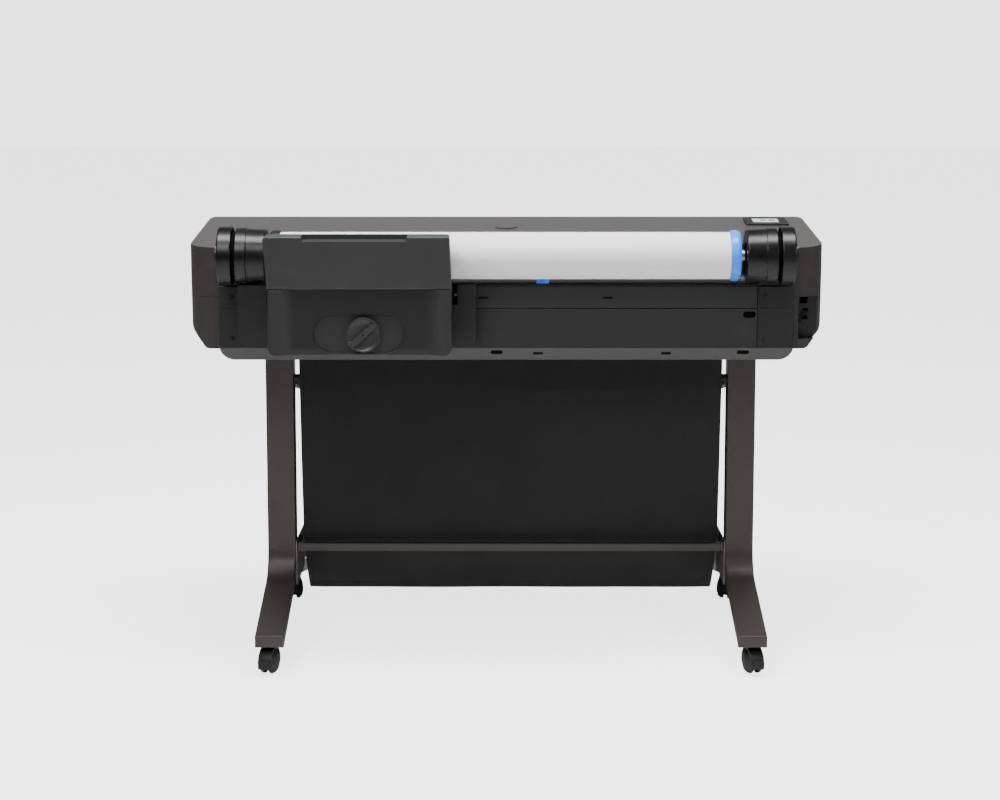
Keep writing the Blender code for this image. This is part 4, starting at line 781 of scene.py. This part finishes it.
def pointAlong(line, distance):
    # the point at a distance down the line, and the way the line runs there
    for (y, z), (nextY, nextZ) in zip(line, line[1:]):
        step = math.dist((y, z), (nextY, nextZ))
        if distance <= step:
            t = distance / step
            return (y + (nextY - y) * t, z + (nextZ - z) * t), ((nextY - y) / step, (nextZ - z) / step)
        distance -= step
    return line[-1], ((line[-1][0] - line[-2][0]) / step, (line[-1][1] - line[-2][1]) / step)


binLine = clothLine()
binLength = sum(math.dist(a, b) for a, b in zip(binLine, binLine[1:]))
binMiddle = sum(corner.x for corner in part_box("bin_fabric")) / 2


def binPoint(across, distance, lift=0.0):
    # across runs from -1 to 1, distance down the line from the rear edge, lift off the outer face
    (y, z), (runY, runZ) = pointAlong(binLine, min(max(distance, 0), binLength))
    free = math.sin(math.pi * min(1, distance / binLength)) ** 0.8 if 0 < distance < binLength else 0
    x = across * (hammock["width"] / 2 - hammock["narrowing"] * free)
    wave = sum(math.sin(x * sideways + distance * down + phase) * share
               for sideways, down, phase, share in hammock["waves"])
    edge = hammock["edgeRipple"] * math.sin(distance * hammock["edgeWaves"])
    edge *= math.exp(-((1 - abs(across)) / hammock["edgeReach"]) ** 2)
    push = hammock["ripple"] * free * wave + edge * free + lift
    return Vector((binMiddle + x, y - push * abs(runZ), z + push * runY * (1 if runZ < 0 else -1) * 0.6))


def clothSheet(name, stop, lift, rows):
    # the cloth from its rear edge down to a distance along the line
    form = bmesh.new()
    across = hammock["across"]
    grid = []
    for row in range(rows + 1):
        distance = stop * row / rows
        grid.append([form.verts.new(binPoint(-1 + 2 * column / across, distance, lift))
                     for column in range(across + 1)])
    faces = [form.faces.new((grid[r][c], grid[r + 1][c], grid[r + 1][c + 1], grid[r][c + 1]))
             for r in range(rows) for c in range(across)]
    flat = form.loops.layers.uv.new("cloth")
    where = {vertex: (column / across * hammock["width"], stop * row / rows)
             for row, line in enumerate(grid) for column, vertex in enumerate(line)}
    for face in faces:
        for loop in face.loops:
            loop[flat].uv = where[loop.vert]
    piece = emptyPiece(name, meshOf(form, name), finishes["fabric"])
    return thickened(piece, hammock["wall"], 50)


def newTree(name, sockets):
    # a node group that takes a mesh and these sockets, and gives a mesh back
    tree = bpy.data.node_groups.new(name, "GeometryNodeTree")
    for label, kind in (("Geometry", "NodeSocketGeometry"), *sockets, ("Finish", "NodeSocketMaterial")):
        tree.interface.new_socket(label, in_out="INPUT", socket_type=kind)
    tree.interface.new_socket("Geometry", in_out="OUTPUT", socket_type="NodeSocketGeometry")

    def add(kind, settings=None, **links):
        # n0, n1, ... name a socket by its number
        node = tree.nodes.new(kind)
        for key, item in (settings or {}).items():
            setattr(node, key, item)
        for key, item in links.items():
            port = node.inputs[int(key[1:]) if key[1:].isdigit() else key.replace("_", " ")]
            if isinstance(item, bpy.types.NodeSocket):
                tree.links.new(item, port)
            else:
                port.default_value = item
        return node

    return tree, add


def stitchTree():
    tree, add = newTree("stitches", (("Pitch", "NodeSocketFloat"), ("Length", "NodeSocketFloat"),
                                     ("Thickness", "NodeSocketFloat")))
    given = add("NodeGroupInput").outputs
    line = add("GeometryNodeMeshToCurve", Mesh=given["Geometry"])
    spaced = add("GeometryNodeResampleCurve", {"mode": "LENGTH"},
                 Curve=line.outputs[0], Length=given["Pitch"])
    tangent = add("GeometryNodeInputTangent")
    turn = add("FunctionNodeAlignRotationToVector", {"axis": "Z"}, Vector=tangent.outputs[0])
    thread = add("GeometryNodeMeshCylinder", Vertices=6, Radius=given["Thickness"], Depth=given["Length"])
    sewn = add("GeometryNodeInstanceOnPoints", Points=spaced.outputs[0], Instance=thread.outputs["Mesh"],
               Rotation=turn.outputs[0])
    real = add("GeometryNodeRealizeInstances", Geometry=sewn.outputs[0])
    dressed = add("GeometryNodeSetMaterial", Geometry=real.outputs[0], Material=given["Finish"])
    out = add("NodeGroupOutput")
    tree.links.new(dressed.outputs[0], out.inputs[0])
    return tree


def grown(name, holder, tree, inputs, angle=35):
    # the tree's result as a plain mesh, with the modifier gone
    change = holder.modifiers.new(name, "NODES")
    change.node_group = tree
    sockets = {item.name: item.identifier for item in tree.interface.items_tree if item.in_out == "INPUT"}
    for key, item in inputs.items():
        change[sockets[key]] = item
    holder.update_tag()
    bpy.context.view_layer.update()
    graph = bpy.context.evaluated_depsgraph_get()
    mesh = bpy.data.meshes.new_from_object(holder.evaluated_get(graph), depsgraph=graph)
    smoothTo(mesh, angle)
    bpy.data.objects.remove(holder)
    return emptyPiece(name, mesh)


def seamLine(name, lines):
    mesh = bpy.data.meshes.new(name)
    points, edges = [], []
    for line in lines:
        first = len(points)
        points += [tuple(point) for point in line]
        edges += [(first + i, first + i + 1) for i in range(len(line) - 1)]
    mesh.from_pydata(points, edges, [])
    return emptyPiece(name, mesh)


def makeBin():
    wall = hammock["wall"]
    cloth = clothSheet("bin_cloth", binLength, 0, hammock["along"])
    pocket = clothSheet("rod_pocket", hammock["pocket"], wall * 1.05, hammock["pocketRows"])
    hemSpan = hammock["hem"] / hammock["width"] * 2
    rows = []
    for up in hammock["seams"]:
        rows.append([binPoint(-0.995 + 1.99 * i / 200, hammock["pocket"] - up, wall * 1.65)
                     for i in range(201)])
    run = binLength - hammock["pocket"] - 0.004
    for side in (-1, 1):
        rows.append([binPoint(side * (1 - hemSpan), hammock["pocket"] + run * i / 240, wall * 0.55)
                     for i in range(241)])
    thread = mouldedPlastic("black thread", (0.022, 0.022, 0.023), 0.7)
    stitches = grown("bin_stitches", seamLine("seams", rows), stitchTree(),
                     {"Pitch": hammock["stitchPitch"], "Length": hammock["stitchLength"],
                      "Thickness": hammock["thread"], "Finish": thread})
    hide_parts("bin_fabric")
    for piece in (cloth, pocket, stitches):
        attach(piece, bodyOf["bin_fabric"])


makeBin()
print("bin sewn")


screw = {
    "radius": 0.0036,
    "height": 0.0014,
    "recess": 0.0009,
    "points": 6,
    "mount": ((0.5336, 0.7775), (0.5290, 0.6857)),       # x and z of the dark ones
    "panel": ((-0.4834, 0.7800), (-0.1046, 0.7800)),     # x and z of the bright ones
    "leg": (-0.007, 0.007),  # across each leg
    "legRise": 0.010,
    "legSize": 0.75,
}


def screwTree():
    tree, add = newTree("screws", (("Radius", "NodeSocketFloat"), ("Height", "NodeSocketFloat"),
                                   ("Recess", "NodeSocketFloat"), ("Points", "NodeSocketInt")))

    def times(a, b):
        return add("ShaderNodeMath", {"operation": "MULTIPLY"}, n0=a, n1=b).outputs[0]

    given = add("NodeGroupInput").outputs
    # head: a low cone with a flat top
    head = add("GeometryNodeMeshCone", {"fill_type": "NGON"}, Vertices=28,
               Radius_Top=times(given["Radius"], 0.78), Radius_Bottom=given["Radius"], Depth=given["Height"])
    # recess: a six-lobed prism
    lobes = add("GeometryNodeCurveStar", Points=given["Points"], Inner_Radius=times(given["Radius"], 0.36),
                Outer_Radius=times(given["Radius"], 0.50))
    filled = add("GeometryNodeFillCurve", {"mode": "NGONS"}, Curve=lobes.outputs[0])
    raised = add("GeometryNodeExtrudeMesh", {"mode": "FACES"}, Mesh=filled.outputs[0], Offset_Scale=0.01)
    under = add("GeometryNodeFlipFaces", Mesh=filled.outputs[0])
    both = add("GeometryNodeJoinGeometry")
    tree.links.new(raised.outputs[0], both.inputs[0])
    tree.links.new(under.outputs[0], both.inputs[0])
    closed = add("GeometryNodeMergeByDistance", Geometry=both.outputs[0], Distance=0.000001)
    depth = add("ShaderNodeMath", {"operation": "SUBTRACT"}, n0=given["Height"], n1=given["Recess"])
    lift = add("ShaderNodeCombineXYZ", Z=depth.outputs[0])
    placed = add("GeometryNodeTransform", Geometry=closed.outputs[0], Translation=lift.outputs[0])
    drilled = add("GeometryNodeMeshBoolean", {"operation": "DIFFERENCE", "solver": "EXACT"})
    tree.links.new(head.outputs["Mesh"], drilled.inputs[0])
    tree.links.new(placed.outputs[0], drilled.inputs[1])
    facing = add("GeometryNodeInputNamedAttribute", {"data_type": "FLOAT_VECTOR"}, Name="facing")
    turn = add("FunctionNodeAlignRotationToVector", {"axis": "Z"}, Vector=facing.outputs[0])
    size = add("GeometryNodeInputNamedAttribute", {"data_type": "FLOAT"}, Name="size")
    points = add("GeometryNodeMeshToPoints", Mesh=given["Geometry"])
    many = add("GeometryNodeInstanceOnPoints", Points=points.outputs[0], Instance=drilled.outputs[0],
               Rotation=turn.outputs[0], Scale=size.outputs[0])
    real = add("GeometryNodeRealizeInstances", Geometry=many.outputs[0])
    dressed = add("GeometryNodeSetMaterial", Geometry=real.outputs[0], Material=given["Finish"])
    out = add("NodeGroupOutput")
    tree.links.new(dressed.outputs[0], out.inputs[0])
    return tree


screws = screwTree()


def makeScrews(name, body, finish, spots):
    # spots: (place, the way the head faces, size)
    mesh = bpy.data.meshes.new(name + "_spots")
    mesh.from_pydata([place for place, facing, size in spots], [], [])
    facings = mesh.attributes.new("facing", "FLOAT_VECTOR", "POINT")
    facings.data.foreach_set("vector", [number for place, facing, size in spots for number in facing])
    sizes = mesh.attributes.new("size", "FLOAT", "POINT")
    sizes.data.foreach_set("value", [size for place, facing, size in spots])
    holder = emptyPiece(name + "_spots", mesh)
    inputs = {key.capitalize(): screw[key] for key in ("radius", "height", "recess", "points")}
    piece = grown(name, holder, screws, {**inputs, "Finish": finish}, 30)
    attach(piece, body)


def placeScrews():
    rear = (0, -1, 0)
    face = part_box("roll_mount_left")[0].y
    dark = [((x, face, z), rear, 1.0) for x, z in screw["mount"]]
    bright = [((x, face, z), rear, 1.0) for x, z in screw["panel"]]
    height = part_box("cross_brace")[0].z + screw["legRise"]
    for low, high in (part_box("leg_left_rear"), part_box("leg_right_rear")):
        for shift in screw["leg"]:
            dark.append((((low.x + high.x) / 2 + shift, max(low.y, -0.015), height), rear, screw["legSize"]))
    makeScrews("dark_screws", "root", finishes["darkSteel"], dark)
    makeScrews("bright_screws", "root", finishes["steel"], bright)


placeScrews()
print("screws in place")


display = {
    "width": 0.0560,
    "depth": 0.0440,
    "shift": (-0.0010, 0.0000),
    "corner": 0.0020,
    "rise": 0.0004,
    "glow": 0.55,
    "slope": (0.0225, 0.38),     # the machine's top rises this much over this depth
}


def displayLook(low, high):
    look = Look("display", (0.62, 0.70, 0.66), 0.12, coat=0.6)
    x = (look.axis("X") - low.x) / (high.x - low.x)
    y = (look.axis("Y") - low.y) / (high.y - low.y)

    def rounded(midX, midY, halfX, halfY):
        farX = (x - midX).size() / halfX
        farY = (y - midY).size() / halfY
        return 1 - (farX ** 4 + farY ** 4).step(0.80, 1.0)

    tileLeft = rounded(0.42, 0.52, 0.13, 0.22)
    tileRight = rounded(0.76, 0.52, 0.13, 0.22)
    bar = rounded(0.5, 0.93, 0.49, 0.07)
    shade = look.mix(tileLeft, (0.60, 0.72, 0.66), (0.055, 0.150, 0.170))
    shade = look.mix(tileRight, shade, (0.030, 0.110, 0.060))
    shade = look.mix(bar * 0.7, shade, (0.20, 0.26, 0.28))
    look.put("Base Color", shade)
    look.put("Emission Color", shade)
    look.shader.inputs["Emission Strength"].default_value = display["glow"]
    look.put("Roughness", 0.10 + 0.06 * look.noise(60, 3.0))
    return look.material


def roundedCorners(halfX, halfY, corner, steps):
    points = []
    for signX, signY, first in ((1, 1, 0), (-1, 1, 90), (-1, -1, 180), (1, -1, 270)):
        for step in range(steps + 1):
            turn = math.radians(first + 90 * step / steps)
            points.append((signX * (halfX - corner) + corner * math.cos(turn),
                           signY * (halfY - corner) + corner * math.sin(turn)))
    return points


def makeDisplay():
    low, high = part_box("touch_panel")
    midX = (low.x + high.x) / 2 + display["shift"][0]
    midY = (low.y + high.y) / 2 + display["shift"][1]
    slope = math.atan2(*display["slope"])
    halfX, halfY, corner = display["width"] / 2, display["depth"] / 2, display["corner"]
    top = (low.z + high.z) / 2 + (high.z - low.z - math.sin(slope) * (high.y - low.y)) / 2
    form = bmesh.new()
    outline = roundedCorners(halfX, halfY, corner, 6)
    lowRing = [form.verts.new((x, y, -0.0006)) for x, y in outline]
    highRing = [form.verts.new((x, y, display["rise"] - 0.0002)) for x, y in outline]
    inset = [form.verts.new((x * 0.985, y * 0.985, display["rise"])) for x, y in outline]
    joinRings(form, (lowRing, highRing, inset))
    form.faces.new(inset)
    form.faces.new(lowRing[::-1])
    bmesh.ops.recalc_face_normals(form, faces=form.faces)
    form.transform(Matrix.Translation((midX, midY, top)) @ Matrix.Rotation(slope, 4, "X"))
    mesh = meshOf(form, "display")
    piece = emptyPiece("display", mesh)
    points = [vertex.co for vertex in mesh.vertices]
    corners = [Vector(pick(point[i] for point in points) for i in range(3)) for pick in (min, max)]
    dress(piece, displayLook(*corners))
    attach(piece, bodyOf["touch_panel"])


makeDisplay()
print("display lit")


knob = {
    "sides": 96,
    "rings": 66,
    "angle": 42,             # the rib's lean from level, degrees
    "rib": 0.0062,           # half width of the rib
    "bank": 0.0012,          # width of the rib's steep sides
    "reach": 0.91,           # how far out the rib runs, of the radius
    "scoop": 0.0088,
    "rim": 0.0016,
    "hole": 0.0017,
    "stem": 0.0125,          # length of the stem behind the grip
    "stemRadius": 0.30,      # of the knob's radius
}


def makeKnob():
    # a round grip with a leaning rib, and a short stem behind it
    low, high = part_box("lock_knob")
    radius = (high.x - low.x) / 2
    middle = Vector(((low.x + high.x) / 2, low.y, (low.z + high.z) / 2))
    lean = math.radians(knob["angle"])
    rim, inner = knob["rim"], radius - knob["rim"]

    def depth(x, z):
        # how far the face sinks: two round scoops with the rib left standing between them
        away = math.hypot(x, z)
        aside = abs(-x * math.sin(lean) + z * math.cos(lean))
        runs = abs(x * math.cos(lean) + z * math.sin(lean)) / inner
        bowl = math.sqrt(max(0, 1 - (away / inner) ** 2)) ** 0.75 * knob["scoop"]
        bank = min(1, max(0, (aside - knob["rib"]) / knob["bank"]))
        ends = min(1, max(0, (runs - knob["reach"]) / 0.05))
        return bowl * max(bank * bank * (3 - 2 * bank), ends * 0.4) + 0.0006 * (1 - bank)

    form = bmesh.new()
    sides, rings = knob["sides"], knob["rings"]
    circle = [(math.cos(turn), math.sin(turn)) for turn in (2 * math.pi * i / sides for i in range(sides))]
    loops = []
    for ring in range(1, rings + 1):
        far = inner * ring / rings
        loops.append([form.verts.new((far * x, depth(far * x, far * z), far * z)) for x, z in circle])
    back, stem = high.y - low.y, radius * knob["stemRadius"]
    for far, y in ((radius - rim * 0.8, 0.0), (radius - rim * 0.3, 0.0003), (radius, 0.0012),
                   (radius, back - knob["stem"]), (stem, back - knob["stem"]), (stem, back)):
        loops.append([form.verts.new((far * x, y, far * z)) for x, z in circle])
    centre = form.verts.new((0, depth(0, 0), 0))
    for i in range(sides):
        form.faces.new((centre, loops[0][i], loops[0][(i + 1) % sides]))
    joinRings(form, loops)
    form.faces.new(loops[-1])
    bmesh.ops.recalc_face_normals(form, faces=form.faces)
    form.transform(Matrix.Translation(middle))
    mesh = meshOf(form, "grip_knob")
    piece = emptyPiece("grip_knob", mesh, finishes["knob"])
    smoothTo(mesh, 40)
    # the pin hole in the middle of the rib, a shallow black cup: painted shade for the shadow inside the
    # hole
    wide = knob["hole"]
    cup = [(0, 0.0004), (wide * 0.8, 0.0004), (wide, 0.0002), (wide, 0.0010), (0, 0.0010)]
    hole = lathe("knob_pin", cup, (middle.x, low.y, middle.z), "Y", 24, finishes["paintedShade"])
    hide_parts("lock_knob")
    for part in (piece, hole):
        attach(part, bodyOf["lock_knob"])


makeKnob()
print("knob cut")


latch = {
    "x": -0.5655,
    "width": 0.0090,
    "height": 0.0090,
    "line": 0.0013,
    "heights": (0.7755, 0.6895),
    "proud": 0.0004,
}


def makeLatches():
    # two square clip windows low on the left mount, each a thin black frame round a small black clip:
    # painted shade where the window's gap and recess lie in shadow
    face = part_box("roll_mount_left")[0].y
    form = bmesh.new()
    width, height, line = latch["width"] / 2, latch["height"] / 2, latch["line"]
    for z in latch["heights"]:
        boxes = [(-width, -height, width, -height + line), (-width, height - line, width, height),
                 (-width, -height + line, -width + line, height - line),
                 (width - line, -height + line, width, height - line),
                 (-width * 0.1, -height * 0.45, width * 0.5, height * 0.45)]
        for x0, z0, x1, z1 in boxes:
            cube = bmesh.ops.create_cube(form, size=1)["verts"]
            for vertex in cube:
                vertex.co = (latch["x"] + (x0 + x1) / 2 + vertex.co.x * (x1 - x0),
                             face + vertex.co.y * latch["proud"],
                             z + (z0 + z1) / 2 + vertex.co.z * (z1 - z0))
    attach(emptyPiece("latch_windows", meshOf(form, "latch_windows"), finishes["paintedShade"]), "root")


makeLatches()
print("latches marked")


slots = {
    # x, z, half width, half height, corner, and how deep the black plate of painted shade lies
    "panel": [(-0.047, 0.77375, 0.0100, 0.00175, 0.0006, 0.0012),
              (0.209, 0.77375, 0.0100, 0.00175, 0.0006, 0.0012),
              (0.5007, 0.7385, 0.0130, 0.0065, 0.0055, 0.0014)],
    "band": [(-0.0200, 0.6590, 0.0125, 0.0042, 0.0040), (0.0655, 0.6565, 0.0100, 0.0026, 0.0015),
             (0.3300, 0.6565, 0.0100, 0.0026, 0.0015), (0.4890, 0.6590, 0.0125, 0.0042, 0.0040)],
    "thickness": 0.0006,
    "edge": 0.0002,          # left free between a floor and its slot's wall
    "beside": 0.0035,        # how far above and below a band slot its face is felt for
}


def makeSlots():
    # black plates of painted shade, set into the slots where their shadow falls
    form = bmesh.new()

    def plate(x, z, halfX, halfZ, corner, depthAt):
        rings = []
        for back in (0.0, slots["thickness"]):
            rings.append([form.verts.new((x + dx, depthAt(z + dz) + back, z + dz))
                          for dx, dz in roundedCorners(halfX, halfZ, corner, 4)])
        joinRings(form, rings)
        form.faces.new(rings[0])
        form.faces.new(rings[1][::-1])

    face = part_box("rear_panel_upper")[0].y
    for x, z, halfX, halfZ, corner, deep in slots["panel"]:
        edge = slots["edge"]
        plate(x, z, halfX - edge, halfZ - edge, corner, lambda height: face + deep)
    pan = cad["base_pan"].data
    felt = BVHTree.FromPolygons([vertex.co for vertex in pan.vertices],
                                [polygon.vertices for polygon in pan.polygons])
    for x, z, halfX, halfZ, corner in slots["band"]:
        # the band slopes, so its face is felt for above and below the slot
        found = []
        for height in (z - halfZ - slots["beside"], z + halfZ + slots["beside"]):
            spot = felt.ray_cast(Vector((x, -0.5, height)), Vector((0, 1, 0)))[0]
            found.append((spot.z, spot.y))
        (lowZ, lowY), (highZ, highY) = found
        slope = (highY - lowY) / (highZ - lowZ)
        plate(x, z, halfX, halfZ, corner, lambda height: lowY + (height - lowZ) * slope - slots["edge"])
    bmesh.ops.recalc_face_normals(form, faces=form.faces)
    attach(emptyPiece("slot_shade_plates", meshOf(form, "slot_shade_plates"), finishes["paintedShade"]), "root")


makeSlots()
print("slots darkened")


def makeFloor():
    form = bmesh.new()
    bmesh.ops.create_grid(form, x_segments=2, y_segments=2, size=studio["floorSize"])
    floor = emptyPiece("floor", meshOf(form, "floor"))
    floor.location.z = -studio["floorDrop"]
    look = Look("floor", (0.86, 0.86, 0.86), 0.6)
    look.put("Base Color", look.mix(look.noise(3, 2.0), (0.84, 0.84, 0.84), (0.88, 0.88, 0.88)))
    # the floor shows pale in front of the camera without lighting the object from below
    seen = look.tree.nodes.new("ShaderNodeLightPath")
    look.tree.links.new(seen.outputs["Is Camera Ray"], look.shader.inputs["Emission Color"])
    look.shader.inputs["Emission Strength"].default_value = studio["floorSeen"]
    dress(floor, look.material)


makeFloor()
makeLights()
makeCamera()
print("floor, lights and camera are in place")
